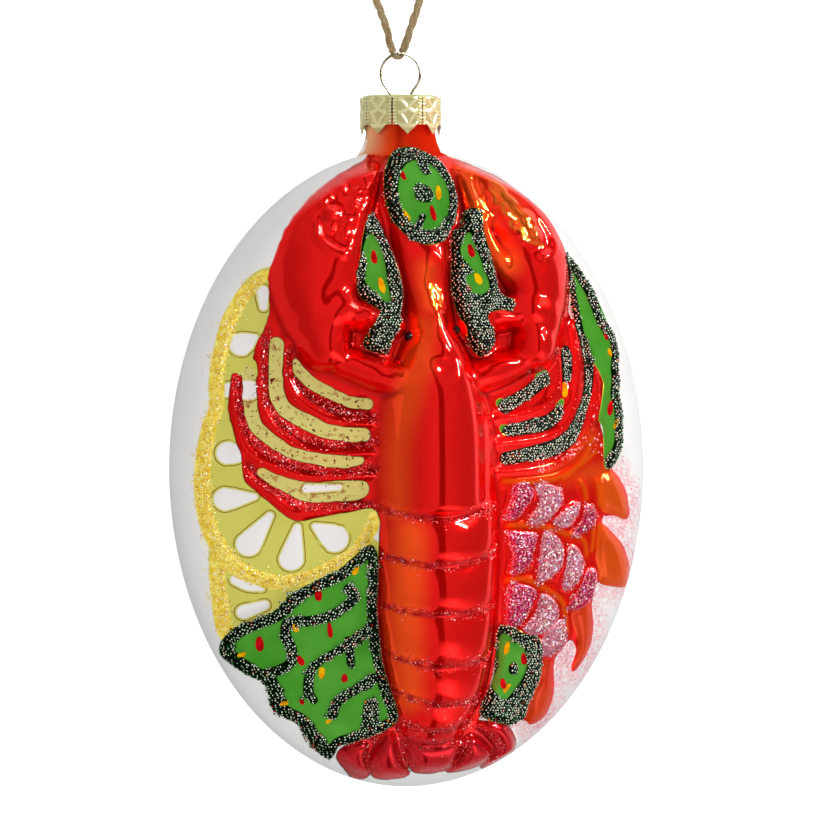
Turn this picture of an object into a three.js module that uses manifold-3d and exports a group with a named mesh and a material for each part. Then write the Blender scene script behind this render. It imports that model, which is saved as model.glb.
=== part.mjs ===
// A blown-glass hanging ornament, lying on its back: an oval platter that carries a cooked lobster,
// lemon slices, herbs and shrimps in relief, with a crown cap, a wire ring and a loop of twine.
// Millimetres. The origin is the middle of the flat rest spot, +Y points to the cap and +Z out of the shell.
import * as THREE from "three";
import { mergeVertices } from "three/addons/utils/BufferGeometryUtils.js";
import Module from "manifold-3d";

const wasm = await Module();
wasm.setup();

// Driving dimensions
const plate = { halfWidth: 45, halfLength: 58.4, frontDepth: 16, backDepth: 19, sides: 36, rings: 18 };
const restCut = 0.6;
const rimHeight = plate.backDepth - restCut;
const rootDepth = 1.2;

// The neck, cap and ring share one axis behind the rim; the flare is radius and y
const neck = {
  behindRim: 5,
  flare: [[5.5, 42], [7.7, 50], [7.3, 54], [6.8, 57], [6.35, 60.5], [6.35, 65.4]],
  sides: 20,
};
const axisHeight = rimHeight - neck.behindRim;
const cap = {
  radius: 7.2, wall: 0.55, rounding: 0.5, top: 68.3, wallBottom: 62.8,
  tabs: 8, tabSteps: 4, pointDrop: 1.7, firstSlit: -28, hole: 0.7,
};
// The ring's bow ends where it is bowSpread wide, and its legs run in through the lid to splayed feet
const ring = {
  centre: 72.3, radius: 3.75, wire: 0.25, bowSpread: 2.75,
  legSpread: 2.05, legRise: 0.3, legDip: 0.7, footSpread: 3, footEnd: 66.4,
};
const twine = { radius: 0.8, sides: 8 };
// The tight turn through the ring hangs by its drop and runs out to each side by its reach and swing
const bight = { radius: 0.42, middle: -0.6, drop: 0.7, reach: 1.3, swing: 1.2, turn: 80, steps: 6 };
const knot = {
  centre: [0, 126, 2.1], size: [2.6, 2.4, 2],
  tag: [[0.6, 0, 0], [2.2, 4.2, -0.6], [2.8, 8, -1.2]],
};

// Lobster: every station is x, y and half width on the plate, with heights above the plate
const carapace = {
  crest: [[0.3, 23.5, 4], [0.3, 17, 7.5], [0.3, 8, 9], [0.4, -1, 9], [0.5, -10.5, 9.2]],
  crestHeight: 8,
  flank: [[0.4, 19, 6.5], [0.5, 8, 10.8], [0.6, -1, 11], [0.7, -10, 11.2]],
  flankHeight: 4.5,
  rostrum: [[0.2, 21, 5.2], [0, 31, 5], [-0.3, 42, 3.6], [-0.5, 52, 3]],
  rostrumHeight: 4.8,
};
const eye = { places: [[-4.6, 24.2], [5, 25.4]], radius: 0.8, height: 5.4 };
const abdomen = {
  core: [[0.6, -4, 11], [0.8, -20, 11.2], [1.2, -34, 10.2], [1.7, -44, 7.4], [1.7, -49.5, 4]],
  coreHeight: 6.6,
  lines: [-8.6, -17, -25.8, -35, -42, -47, -50.4],
  halfWidths: [11.3, 11.4, 11, 10, 8.4, 6.2],
  heights: [7.6, 7.6, 7.3, 6.8, 5.8, 4.4],
  drift: [0.7, 0.8, 1, 1.4, 1.7, 1.7],
  narrowing: 0.96,
  lap: 0.7,
  sag: 1.6,
};
const fan = {
  lobes: [
    [[-3, -47.5, 2], [-9, -50.5, 3], [-13.8, -53, 2.4]],
    [[-1.5, -48, 2.4], [-5, -51.5, 3.2], [-7.2, -55.6, 2.6]],
    [[5, -48, 2.4], [8.6, -51, 3.2], [11.2, -54.8, 2.6]],
    [[6.5, -47.5, 2], [12.5, -50, 3], [17.4, -51.8, 2.4]],
    [[1.5, -47.5, 4.4], [1.5, -51.5, 5], [1.7, -55.4, 4.4]],
  ],
  height: 2.6,
};
// The claws and their arms are the same on both sides, so they are given for +x
const claw = {
  palm: [[21.5, 24.5, 5], [21.2, 32, 7.4], [20, 40, 7], [17, 47, 5.6], [9, 56, 2]],
  palmHeight: 6.2,
  finger: [[20, 38.5, 2.6], [16.8, 46, 4], [11, 53.5, 2.2]],
  fingerHeight: 7.2,
  wrist: [[21, 29, 4.4], [19.5, 20.5, 4.8]],
  wristHeight: 5.6,
  arm: [[23, 20.5, 3.4], [15, 16, 4.6], [7, 14, 4.2]],
  armHeight: 4.2,
  shoulder: [[18.5, 24.5, 3], [12, 20.5, 3], [5, 18.5, 2.8]],
  shoulderHeight: 5.4,
};
const leg = { height: 1.7, halfWidth: 1.35, blunt: 0.35 };
const legsLeft = [
  [[-9, 8.5], [-17.4, 9.3], [-21.8, 11.9], [-25, 15.2], [-26.6, 19], [-26, 25]],
  [[-9, 3.5], [-18, 4], [-24, 6.8], [-28.4, 9.7], [-30.8, 15], [-30.4, 22], [-28.5, 26]],
  [[-9, -1], [-19, -0.7], [-25.5, 0.7], [-30.8, 3.5], [-34, 8], [-35.5, 15], [-35.3, 17.5]],
  [[-9, -6.8], [-17.4, -7], [-22, -7.7], [-27, -6.8], [-31, -4], [-34.2, 1]],
];
const legsRight = [
  [[9, 8.5], [19, 11.2], [23.4, 14.3], [24, 20]],
  [[9, 4], [19, 5.9], [25, 7.9], [27.8, 12], [28, 22]],
  [[9, 0], [21, 1.1], [26.7, 3.5], [30.5, 7.7], [32.3, 13.5], [31.5, 20]],
  [[9, -3.5], [22.5, -1.5], [29, 1.6], [33, 6], [33.6, 10]],
];

// Garnish
// Each lemon slice starts with the points of its edge that carry the rind
const lemon = {
  slices: [
    {
      centre: [-24, 18],
      rind: [[-29.8, 36.1], [-33.5, 32.6], [-35.5, 29.4], [-37.1, 26.1], [-39, 18.5], [-39.3, 12]],
      rest: [[-36, 3], [-26, -1], [-14, 4], [-9, 18], [-14, 32], [-22, 37.4]],
    },
    {
      centre: [-26, -4.5],
      rind: [[-40.6, 7.9], [-41.7, 1.1], [-41.7, -5.7], [-40.1, -12.6], [-36.2, -18.5], [-32.2, -20.7],
        [-27.3, -21.7], [-22.4, -20.7], [-17.4, -18.5], [-12.8, -15.1], [-10.3, -10.4]],
      rest: [[-10.8, -4], [-14.2, 4.5], [-21.8, 11.3], [-31.2, 13.5], [-37.5, 11.8]],
    },
    {
      centre: [-23, -24],
      rind: [[-39, -13], [-39.2, -18.5], [-38.8, -22], [-37.4, -28.8], [-33, -36]],
      rest: [[-25, -40], [-16, -38], [-8, -30], [-8, -16], [-20, -8], [-34, -8]],
    },
  ],
  height: 0.6,
  rindHalfWidth: 1.2,
  rindInset: 0.95,
  rindHeight: 1,
};
const disc = { centre: [-0.5, 49.6], across: 6.6, along: 9, height: 3.4 };
const beads = { halfWidth: 0.95, rise: 0.7 };
const leaves = [
  [[-9.3, 46.8, 0.7], [-10.1, 40, 2.2], [-9.6, 35, 3.5], [-8, 30, 2.2], [-9.2, 25, 2.2], [-10.4, 21, 1.4]],
  [[9.8, 47.4, 0.8], [8.6, 41, 2.5], [8.8, 35, 3.8], [9, 30, 3.4], [9.4, 25.5, 2.2], [10.8, 21, 1.6]],
  [[27.4, 39.4, 0.7], [31, 33, 1.6], [34.6, 24, 2.8], [35.8, 14, 2.6], [36, 6, 1.9], [35.6, 0, 1.1]],
  [[15.8, -28.8, 2], [17.6, -33, 4], [17.4, -39.5, 4.8], [14.6, -45, 3.2]],
];
const leafHeights = [3, 3, 1.4, 1.8];
const herb = {
  centre: [-18, -34],
  outline: [
    [-12.3, -15.5], [-20, -20], [-28, -24.3], [-34.5, -29], [-36, -33.5], [-32, -37.5], [-28.6, -39.5],
    [-26.5, -44], [-20.5, -48.5], [-15.8, -52.5], [-10.5, -49], [-6, -45.4], [-9.5, -36], [-11, -25],
  ],
  height: 1.7,
  curls: [
    [[-15, -22.5], [-17, -26.6], [-26, -27.6], [-25.4, -33], [-29, -37.3]],
    [[-12.5, -30.6], [-18.2, -33.6], [-22, -38], [-20.4, -42.5]],
    [[-10.6, -37.8], [-14.4, -40], [-17.3, -45]],
  ],
};
// Each shrimp patch is x, y, half width across, half length along and its turn in degrees
const shrimp = {
  bodies: [
    [[13, -6, 3.8], [22, -6.8, 3.8], [31, -10.5, 2.6]],
    [[13, -15.6, 4.6], [23, -17, 4.8], [30, -22.5, 3]],
    [[13, -24.8, 4.2], [22, -28, 4.2], [27.5, -36, 2.4]],
  ],
  bodyHeight: 1.7,
  patches: [
    [16.4, -6.2, 2, 4.2, -20], [21.8, -6.6, 3, 3.2, -30], [26, -9, 1.7, 2.9, -45], [30, -10, 1.4, 3, -30],
    [17, -15.6, 2.5, 4.4, 0], [22.4, -16.6, 2.4, 4.8, -18], [27.4, -18.2, 1.9, 4.4, -15],
    [29.4, -22.4, 2, 4.2, -38],
    [17, -24.7, 2.5, 4, -5], [21.6, -27.2, 2.6, 4.2, -32], [24.2, -31.2, 2.2, 4, -35],
    [27, -35, 1.6, 4, -35],
  ],
  patchHeight: 2.4,
  tails: [
    [[30.5, -3, 1.6], [34.5, -2.5, 2.4], [37, -7.5, 1.8]],
    [[31.5, -11, 1.6], [36, -14, 2.8], [36.4, -20.5, 2.6]],
    [[29.6, -25.5, 2], [30.4, -32, 1.8], [27.8, -38, 0.8]],
    [[22.5, -35.5, 1.8], [23.6, -41, 2.2], [20.6, -46.5, 1.2]],
  ],
  tailHeight: 1.8,
};

// Twine routes from the ring to the knot
const twineLeft = [
  [-1.9, 76.2, 14.75], [-2.4, 78, 14.8], [-3, 80.5, 14.5], [-3.6, 83, 13.7], [-4.3, 85.6, 12.5],
  [-5, 88.2, 10.9], [-5.7, 90.8, 8.9], [-6.3, 93.4, 6.8], [-6.8, 96, 4.8], [-7.2, 99, 3],
  [-7.3, 102.5, 1.7], [-7, 106.5, 1.05], [-6.2, 110.5, 0.9], [-4.9, 114.5, 0.9], [-3.4, 118, 1],
  [-2, 121, 1.5], [-1.2, 123.2, 2],
];
const twineRight = [
  [0.7, 76.4, 12], [1.6, 78.4, 12], [2.5, 80.8, 11.6], [3.5, 83.2, 10.9], [4.5, 85.6, 9.9],
  [5.4, 88.2, 8.6], [6.2, 90.8, 7.1], [6.9, 93.4, 5.5], [7.4, 96.2, 4], [7.7, 99.2, 2.6],
  [7.6, 102.6, 1.6], [7.1, 106.5, 1.05], [6.2, 110.5, 0.9], [4.9, 114.4, 0.9], [3.4, 117.9, 1],
  [2, 120.9, 1.5], [1.2, 123.2, 2],
];

// The plate's front surface
function frontHeight(x, y) {
  const inside = 1 - (x / plate.halfWidth) ** 2 - (y / plate.halfLength) ** 2;
  return rimHeight + plate.frontDepth * Math.sqrt(Math.max(0, inside));
}

// Moves each vertex of a geometry by a function that takes and returns a vector
function moveVertices(geometry, move) {
  const { position, uv } = geometry.attributes;
  const vertex = new THREE.Vector3();
  for (let i = 0; i < position.count; i++) {
    vertex.fromBufferAttribute(position, i);
    const { x, y, z } = move(vertex, uv.getX(i), uv.getY(i));
    position.setXYZ(i, x, y, z);
  }
  return geometry;
}

// Every form on the plate rises to its own height and roots to one depth below the surface
function riseOf(up, height) {
  return up > 0 ? up * height : up * rootDepth;
}

// A rounded ridge laid on the plate along stations of x, y and half width. Blunt 1 gives an ellipsoid,
// taper 1 a crest that falls with the width, and sag bends the ridge towards the tail at its middle
function ridge(stations, height, { sides = 10, steps = 10, blunt = 0.5, taper = 0, sag = 0 } = {}) {
  const widest = Math.max(...stations.map(([, , halfWidth]) => halfWidth));
  const line = new THREE.CatmullRomCurve3(stations.map((station) => new THREE.Vector3(...station)));
  return moveVertices(new THREE.SphereGeometry(1, sides, steps), (vertex, u, v) => {
    const polar = (1 - v) * Math.PI;
    const share = (1 - Math.cos(polar)) / 2;
    const middle = line.getPoint(share);
    const forward = line.getTangent(share).setZ(0).normalize();
    const slim = v > 0 && v < 1 ? Math.sin(polar) ** blunt : 0;
    const around = (u % 1) * 2 * Math.PI;
    const across = -Math.cos(around) * slim;
    const up = Math.sin(around) * slim;
    const x = middle.x - forward.y * across * middle.z;
    const y = middle.y + forward.x * across * middle.z - sag * (1 - across ** 2);
    const crest = height * (middle.z / widest) ** taper;
    return new THREE.Vector3(x, y, frontHeight(x, y) + riseOf(up, crest));
  });
}

// An oval bump, a ridge between the two ends of its long axis
function bump([x, y], across, along, height, { turn = 0, ...detail } = {}) {
  const angle = THREE.MathUtils.degToRad(turn);
  const reach = new THREE.Vector2(-Math.sin(angle), Math.cos(angle)).multiplyScalar(along);
  const ends = [-1, 1].map((side) => [x + side * reach.x, y + side * reach.y, across]);
  return ridge(ends, height, { sides: 8, steps: 5, blunt: 1, ...detail });
}

// A low flat-topped pad inside a closed outline that runs anticlockwise round its centre
function pad(outline, [centreX, centreY], height, { sides = 22, rings = 4, edge = 0.35 } = {}) {
  return moveVertices(new THREE.SphereGeometry(1, sides, rings), (vertex, u, v) => {
    const polar = (1 - v) * Math.PI;
    const out = v > 0 && v < 1 ? Math.sin(polar) : 0;
    const { x: edgeX, y: edgeY } = outline.getPoint(u % 1);
    const x = centreX + (edgeX - centreX) * out;
    const y = centreY + (edgeY - centreY) * out;
    const up = Math.sign(Math.cos(polar)) * Math.abs(Math.cos(polar)) ** edge;
    return new THREE.Vector3(x, y, frontHeight(x, y) + riseOf(up, height));
  });
}

// A closed geometry as a solid for joining and cutting
function solid(geometry) {
  const bare = geometry.clone();
  bare.deleteAttribute("normal");
  bare.deleteAttribute("uv");
  const merged = mergeVertices(bare, 1e-4);
  const vertProperties = new Float32Array(merged.attributes.position.array);
  const triVerts = new Uint32Array(merged.index.array);
  return new wasm.Manifold(new wasm.Mesh({ numProp: 3, vertProperties, triVerts }));
}

function geometryOf(body) {
  const { vertProperties, triVerts } = body.getMesh();
  return new THREE.BufferGeometry()
    .setAttribute("position", new THREE.BufferAttribute(vertProperties, 3))
    .setIndex(new THREE.BufferAttribute(triVerts, 1));
}

// The outer skin of what a union makes, without sealed hollows and loose scraps
function wholeBody(pieces) {
  const bodies = wasm.Manifold.union(pieces.map(solid)).decompose();
  return bodies.reduce((largest, body) => (body.volume() > largest.volume() ? body : largest));
}

function closedLine(points) {
  const corners = points.map(([x, y]) => new THREE.Vector3(x, y, 0));
  return new THREE.CatmullRomCurve3(corners, true);
}

const mirrored = (stations) => stations.map(([x, ...rest]) => [-x, ...rest]);
const withWidth = (line, halfWidth) => line.map(([x, y]) => [x, y, halfWidth]);

// The two long edges of a leaf, set in by half a bead row
function leafEdges(stations) {
  return [-1, 1].map((side) =>
    stations.map(([x, y, halfWidth], i) => {
      const [fromX, fromY] = stations[Math.max(0, i - 1)];
      const [toX, toY] = stations[Math.min(stations.length - 1, i + 1)];
      const forward = new THREE.Vector2(toX - fromX, toY - fromY).normalize();
      const out = side * Math.max(0, halfWidth - beads.halfWidth / 2);
      return [x - forward.y * out, y + forward.x * out, beads.halfWidth];
    }),
  );
}

function plateShell() {
  const shell = new THREE.SphereGeometry(1, plate.sides, plate.rings).rotateX(Math.PI / 2);
  return moveVertices(shell, ({ x, y, z }) => {
    const depth = z > 0 ? plate.frontDepth : plate.backDepth;
    return new THREE.Vector3(x * plate.halfWidth, y * plate.halfLength, rimHeight + z * depth);
  });
}

function neckTube() {
  const [, base] = neck.flare[0];
  const [, top] = neck.flare[neck.flare.length - 1];
  const profile = [[0, base], ...neck.flare, [0, top]].map(([r, y]) => new THREE.Vector2(r, y));
  return new THREE.LatheGeometry(profile, neck.sides).translate(0, 0, axisHeight);
}

function lobster() {
  const body = [
    ridge(carapace.flank, carapace.flankHeight, { sides: 10, steps: 8 }),
    ridge(carapace.crest, carapace.crestHeight, { sides: 16, steps: 10, taper: 0.5 }),
    ridge(carapace.rostrum, carapace.rostrumHeight, { sides: 10, steps: 7 }),
    ridge(abdomen.core, abdomen.coreHeight, { sides: 14, steps: 8, blunt: 0.35, taper: 0.7 }),
    ...eye.places.map((place) => bump(place, eye.radius, eye.radius, eye.height, { sides: 6, steps: 4 })),
    ...fan.lobes.map((lobe) => ridge(lobe, fan.height, { sides: 8, steps: 6 })),
  ];
  abdomen.halfWidths.forEach((halfWidth, i) => {
    const front = abdomen.lines[i] + abdomen.lap;
    const back = abdomen.lines[i + 1] - abdomen.lap;
    const middle = abdomen.drift[i];
    const stations = [[middle, front, halfWidth], [middle, back, halfWidth * abdomen.narrowing]];
    body.push(ridge(stations, abdomen.heights[i], { sides: 14, steps: 5, blunt: 0.35, sag: abdomen.sag }));
  });
  const limbs = [claw.palm, claw.finger, claw.wrist, claw.arm, claw.shoulder];
  const heights = [claw.palmHeight, claw.fingerHeight, claw.wristHeight, claw.armHeight, claw.shoulderHeight];
  limbs.forEach((stations, i) => {
    const detail = { sides: 10, steps: 2 * stations.length, taper: 0.6 };
    body.push(ridge(stations, heights[i], detail), ridge(mirrored(stations), heights[i], detail));
  });
  for (const line of [...legsLeft, ...legsRight]) {
    body.push(ridge(withWidth(line, leg.halfWidth), leg.height, { sides: 6, steps: 8, blunt: leg.blunt }));
  }
  return body;
}

function lemons() {
  return lemon.slices.flatMap(({ centre, rind, rest }) => {
    const [middleX, middleY] = centre;
    const inset = (from, middle) => middle + (from - middle) * lemon.rindInset;
    const rindLine = rind.map(([x, y]) => [inset(x, middleX), inset(y, middleY), lemon.rindHalfWidth]);
    const flesh = pad(closedLine([...rind, ...rest]), centre, lemon.height);
    return [flesh, ridge(rindLine, lemon.rindHeight, { sides: 4, steps: 9, blunt: 0.3 })];
  });
}

function herbs() {
  const row = { sides: 4, steps: 8, blunt: 0.3 };
  const discEdge = new THREE.EllipseCurve(...disc.centre, disc.across, disc.along);
  const discRow = discEdge.getPoints(12).map(({ x, y }) => [x, y, beads.halfWidth]);
  const herbRow = [...herb.outline, herb.outline[0]];
  const pieces = [
    pad(discEdge, disc.centre, disc.height, { sides: 16 }),
    ridge(discRow, disc.height + beads.rise, row),
    pad(closedLine(herb.outline), herb.centre, herb.height),
    ridge(withWidth(herbRow, beads.halfWidth), herb.height + beads.rise, { ...row, steps: 22 }),
  ];
  for (const curl of herb.curls) {
    pieces.push(ridge(withWidth(curl, beads.halfWidth), herb.height + beads.rise, row));
  }
  leaves.forEach((stations, i) => {
    pieces.push(ridge(stations, leafHeights[i], { sides: 8, steps: 8, blunt: 0.4 }));
    for (const edge of leafEdges(stations)) {
      pieces.push(ridge(edge, leafHeights[i] + beads.rise, row));
    }
  });
  return pieces;
}

function shrimps() {
  const patches = shrimp.patches.map(([x, y, across, along, turn]) =>
    bump([x, y], across, along, shrimp.patchHeight, { turn, sides: 6, blunt: 0.7 }),
  );
  const detail = { sides: 6, steps: 6 };
  const bodies = shrimp.bodies.map((stations) => ridge(stations, shrimp.bodyHeight, detail));
  const tails = shrimp.tails.map((stations) => ridge(stations, shrimp.tailHeight, detail));
  return [...bodies, ...patches, ...tails];
}

function glassBody() {
  const relief = [...lobster(), ...lemons(), ...herbs(), ...shrimps()];
  const belowRest = new THREE.BoxGeometry(4 * plate.halfWidth, 4 * plate.halfLength, plate.backDepth);
  belowRest.translate(0, 0, -plate.backDepth / 2);
  return geometryOf(wholeBody([plateShell(), neckTube(), ...relief]).subtract(solid(belowRest)));
}

// A lidded crown whose wall ends in one point for each tab
function crownCap() {
  const inner = cap.radius - cap.wall;
  const outline = [
    [0, cap.top - cap.wall], [inner, cap.top - cap.wall], [inner, cap.wallBottom],
    [cap.radius, cap.wallBottom], [cap.radius, cap.top - cap.rounding],
    [cap.radius - cap.rounding, cap.top], [0, cap.top],
  ];
  const profile = outline.map(([r, y]) => new THREE.Vector2(r, y));
  const crown = new THREE.LatheGeometry(profile, cap.tabs * cap.tabSteps);
  moveVertices(crown, (vertex, u) => {
    const fromPoint = Math.abs(((u * cap.tabs) % 1) - 0.5);
    const drop = vertex.y <= cap.wallBottom ? cap.pointDrop * Math.max(0, 1 - cap.tabSteps * fromPoint) : 0;
    return vertex.setY(vertex.y - drop);
  });
  crown.rotateY(THREE.MathUtils.degToRad(cap.firstSlit));
  const holes = [-1, 1].map((side) => {
    const drill = new THREE.CylinderGeometry(cap.hole, cap.hole, 4 * cap.wall, 8);
    return solid(drill.translate(side * ring.legSpread, cap.top - cap.wall / 2, 0));
  });
  const pierced = holes.reduce((body, hole) => body.subtract(hole), solid(crown));
  return geometryOf(pierced).translate(0, 0, axisHeight);
}

// A round rod along a smooth line of points
function rod(points, radius, { sides, steps }) {
  const section = new THREE.Shape().absarc(0, 0, radius, 0, 2 * Math.PI);
  const extrudePath = new THREE.CatmullRomCurve3(points.map((point) => new THREE.Vector3(...point)));
  return new THREE.ExtrudeGeometry(section, { extrudePath, steps, curveSegments: sides / 2 });
}

function wireRing() {
  const open = Math.asin(ring.bowSpread / ring.radius);
  const turns = 16;
  const bow = Array.from({ length: turns + 1 }, (_, i) => {
    const angle = -Math.PI / 2 + open + (2 * (Math.PI - open) * i) / turns;
    return [ring.radius * Math.cos(angle), ring.centre + ring.radius * Math.sin(angle), axisHeight];
  });
  const legEnd = (side) => [
    [side * ring.footSpread, ring.footEnd, axisHeight],
    [side * ring.legSpread, cap.top - ring.legDip, axisHeight],
    [side * ring.legSpread, cap.top + ring.legRise, axisHeight],
  ];
  return rod([...legEnd(1), ...bow, ...legEnd(-1).reverse()], ring.wire, { sides: 6, steps: 44 });
}

// The short turn of twine through the ring, round the wire's top
function twineBight() {
  const wireTop = ring.centre + ring.radius;
  const points = [-1, -0.5, 0, 0.5, 1].map((share) => {
    const angle = THREE.MathUtils.degToRad(share * bight.turn);
    const x = bight.middle - bight.reach * Math.sin(angle);
    const y = wireTop - bight.drop * Math.cos(angle);
    return [x, y, axisHeight + bight.swing * Math.sin(angle)];
  });
  return rod(points, bight.radius, { sides: twine.sides, steps: bight.steps });
}

function twineStrand(route) {
  return rod(route, twine.radius, { sides: twine.sides, steps: 18 });
}

function twineKnot() {
  const [knotX, knotY, knotZ] = knot.centre;
  const tags = [-1, 1].map((side) => {
    const points = knot.tag.map(([x, y, z]) => [knotX + side * x, knotY + y, knotZ + z]);
    return rod(points, twine.radius, { sides: twine.sides, steps: 4 });
  });
  const lump = new THREE.SphereGeometry(1, 12, 8).scale(...knot.size).translate(...knot.centre);
  return geometryOf(wholeBody([lump, ...tags]));
}

const finishes = {
  lacquer: { color: 0xc8140a, roughness: 0.12, metalness: 0.4 },
  gold: { color: 0xd9c78a, roughness: 0.25, metalness: 1 },
  wire: { color: 0xb9b39c, roughness: 0.3, metalness: 1 },
  jute: { color: 0xa88a62, roughness: 0.9, metalness: 0 },
};

const ornament = new THREE.Group();

function addMesh(name, geometry, finish) {
  const mesh = new THREE.Mesh(geometry, new THREE.MeshStandardMaterial(finishes[finish]));
  mesh.name = name;
  ornament.add(mesh);
}

addMesh("glass_body", glassBody(), "lacquer");
addMesh("cap", crownCap(), "gold");
addMesh("hanger_loop", wireRing(), "wire");
addMesh("twine_bight", twineBight(), "jute");
addMesh("twine_left", twineStrand(twineLeft), "jute");
addMesh("twine_right", twineStrand(twineRight), "jute");
addMesh("twine_knot", twineKnot(), "jute");

export default ornament;
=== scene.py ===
import math

import bpy
import numpy as np
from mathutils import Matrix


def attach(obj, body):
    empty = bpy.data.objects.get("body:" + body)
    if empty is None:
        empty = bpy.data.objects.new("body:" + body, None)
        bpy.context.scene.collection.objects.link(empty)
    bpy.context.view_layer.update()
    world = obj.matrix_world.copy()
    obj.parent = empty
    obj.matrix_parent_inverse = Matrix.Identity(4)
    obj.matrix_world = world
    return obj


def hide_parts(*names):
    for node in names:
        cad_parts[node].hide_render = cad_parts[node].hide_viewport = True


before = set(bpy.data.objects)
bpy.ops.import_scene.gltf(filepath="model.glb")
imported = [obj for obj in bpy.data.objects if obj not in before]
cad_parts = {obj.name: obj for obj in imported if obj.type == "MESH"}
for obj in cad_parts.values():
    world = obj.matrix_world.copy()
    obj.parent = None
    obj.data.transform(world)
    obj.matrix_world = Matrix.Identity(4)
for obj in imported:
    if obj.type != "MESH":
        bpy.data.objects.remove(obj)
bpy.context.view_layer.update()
bpy.ops.object.select_all(action="DESELECT")
mm = 0.001
# above the floor: the platter's rim, and the line through the neck, the cap and the ring
rimHeight, axisHeight = 18.4, 13.4
print("frame loaded")

# camera, floor and studio light
shot = {
    "turn": 16, "distance": 1.5, "frameWidth": 0.15006, "sensorWidth": 36,
    "aimRight": 0.00037, "aimUp": 0.0106,
}


def placeCamera():
    turn = math.radians(shot["turn"])
    right = np.array((math.cos(turn), 0, math.sin(turn)))
    away = np.array((-math.sin(turn), 0, math.cos(turn)))
    aim = np.array((0, shot["aimUp"], rimHeight * mm)) + right * shot["aimRight"]
    bpy.ops.object.camera_add(location=aim + away * shot["distance"], rotation=(0, -turn, 0))
    camera = bpy.context.object
    camera.data.sensor_width = shot["sensorWidth"]
    camera.data.lens = shot["sensorWidth"] * shot["distance"] / shot["frameWidth"]
    bpy.context.scene.camera = camera


# three panels light the paint; the bright one is only mirrored, as crisp highlights
lamps = {
    "keyPanel": {"place": (0.4, 0.36, 0.31), "size": (0.2, 0.2), "power": 1.7, "mirrored": False},
    "footPanel": {"place": (0.16, -0.5, 0.36), "size": (0.36, 0.16), "power": 1.1, "mirrored": False},
    "leftPanel": {"place": (-0.55, 0.1, 0.42), "size": (0.5, 0.5), "power": 1.3, "mirrored": False},
    "gleamPanel": {"place": (0.4, 0.36, 0.31), "size": (0.2, 0.26), "power": 84, "mirrored": True},
}


def placeLamps():
    for name, lamp in lamps.items():
        bpy.ops.object.light_add(type="AREA", location=lamp["place"])
        light = bpy.context.object
        light.name = name
        light.data.shape = "RECTANGLE"
        light.data.size, light.data.size_y = lamp["size"]
        light.data.energy = lamp["power"]
        facing = -light.location.normalized()
        light.rotation_euler = facing.to_track_quat("-Z", "Y").to_euler()
        light.visible_camera = False
        light.visible_glossy = lamp["mirrored"]
        light.visible_diffuse = not lamp["mirrored"]


# sky brightness from left to right, with a dark gap overhead that the lacquer mirrors as a seam;
# gloss sees it a little brighter, and a softer light without the gap in a band low at the foot
sky = {
    "strength": 0.75, "glossBoost": 1.2,
    "overhead": [(0, 0.45), (0.25, 0.85), (0.42, 1), (0.485, 1), (0.51, 0.06), (0.6, 0.06), (0.625, 0.85),
                 (0.8, 0.7), (1, 0.45)],
    "foot": [(0, 0.4), (0.3, 0.8), (0.5, 1), (0.62, 2.6), (0.74, 4), (0.86, 1.4), (1, 0.5)],
    "footBand": [(0.07, 0), (0.17, 1), (0.28, 1), (0.42, 0)],
}


def studioWorld():
    world = bpy.data.worlds.new("studioWorld")
    bpy.context.scene.world = world
    world.use_nodes = True
    nodes = world.node_tree.nodes
    links = world.node_tree.links
    background = nodes["Background"]
    split = nodes.new("ShaderNodeSeparateXYZ")
    links.new(nodes.new("ShaderNodeTexCoord").outputs["Generated"], split.inputs["Vector"])

    def toneRamp(tones, axis):
        shift = nodes.new("ShaderNodeMapRange")
        shift.inputs["From Min"].default_value = -1
        links.new(split.outputs[axis], shift.inputs["Value"])
        ramp = nodes.new("ShaderNodeValToRGB")
        stops = ramp.color_ramp.elements
        while len(stops) < len(tones):
            stops.new(0.5)
        for stop, (place, tone) in zip(stops, tones):
            stop.position = place
            stop.color = (tone, tone, tone, 1)
        links.new(shift.outputs["Result"], ramp.inputs["Fac"])
        return ramp.outputs["Color"]

    glossy = nodes.new("ShaderNodeLightPath").outputs["Is Glossy Ray"]
    share = nodes.new("ShaderNodeMath")
    share.operation = "MULTIPLY"
    links.new(toneRamp(sky["footBand"], "Y"), share.inputs[0])
    links.new(glossy, share.inputs[1])
    both = nodes.new("ShaderNodeMix")
    links.new(share.outputs["Value"], both.inputs["Factor"])
    links.new(toneRamp(sky["overhead"], "X"), both.inputs["A"])
    links.new(toneRamp(sky["foot"], "X"), both.inputs["B"])
    boost = nodes.new("ShaderNodeMapRange")
    boost.inputs["To Min"].default_value = sky["strength"]
    boost.inputs["To Max"].default_value = sky["strength"] * sky["glossBoost"]
    links.new(glossy, boost.inputs["Value"])
    links.new(both.outputs["Result"], background.inputs["Color"])
    links.new(boost.outputs["Result"], background.inputs["Strength"])


# white paper to the eye, but it throws little light back up at the glass
floorPaper = {
    "size": 6, "seen": 0.72, "thrown": 0.06, "roughness": 0.9,
    "tone": (0.5, 0.5, 0.498, 1), "glow": (1, 1, 0.995, 1),
}


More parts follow.
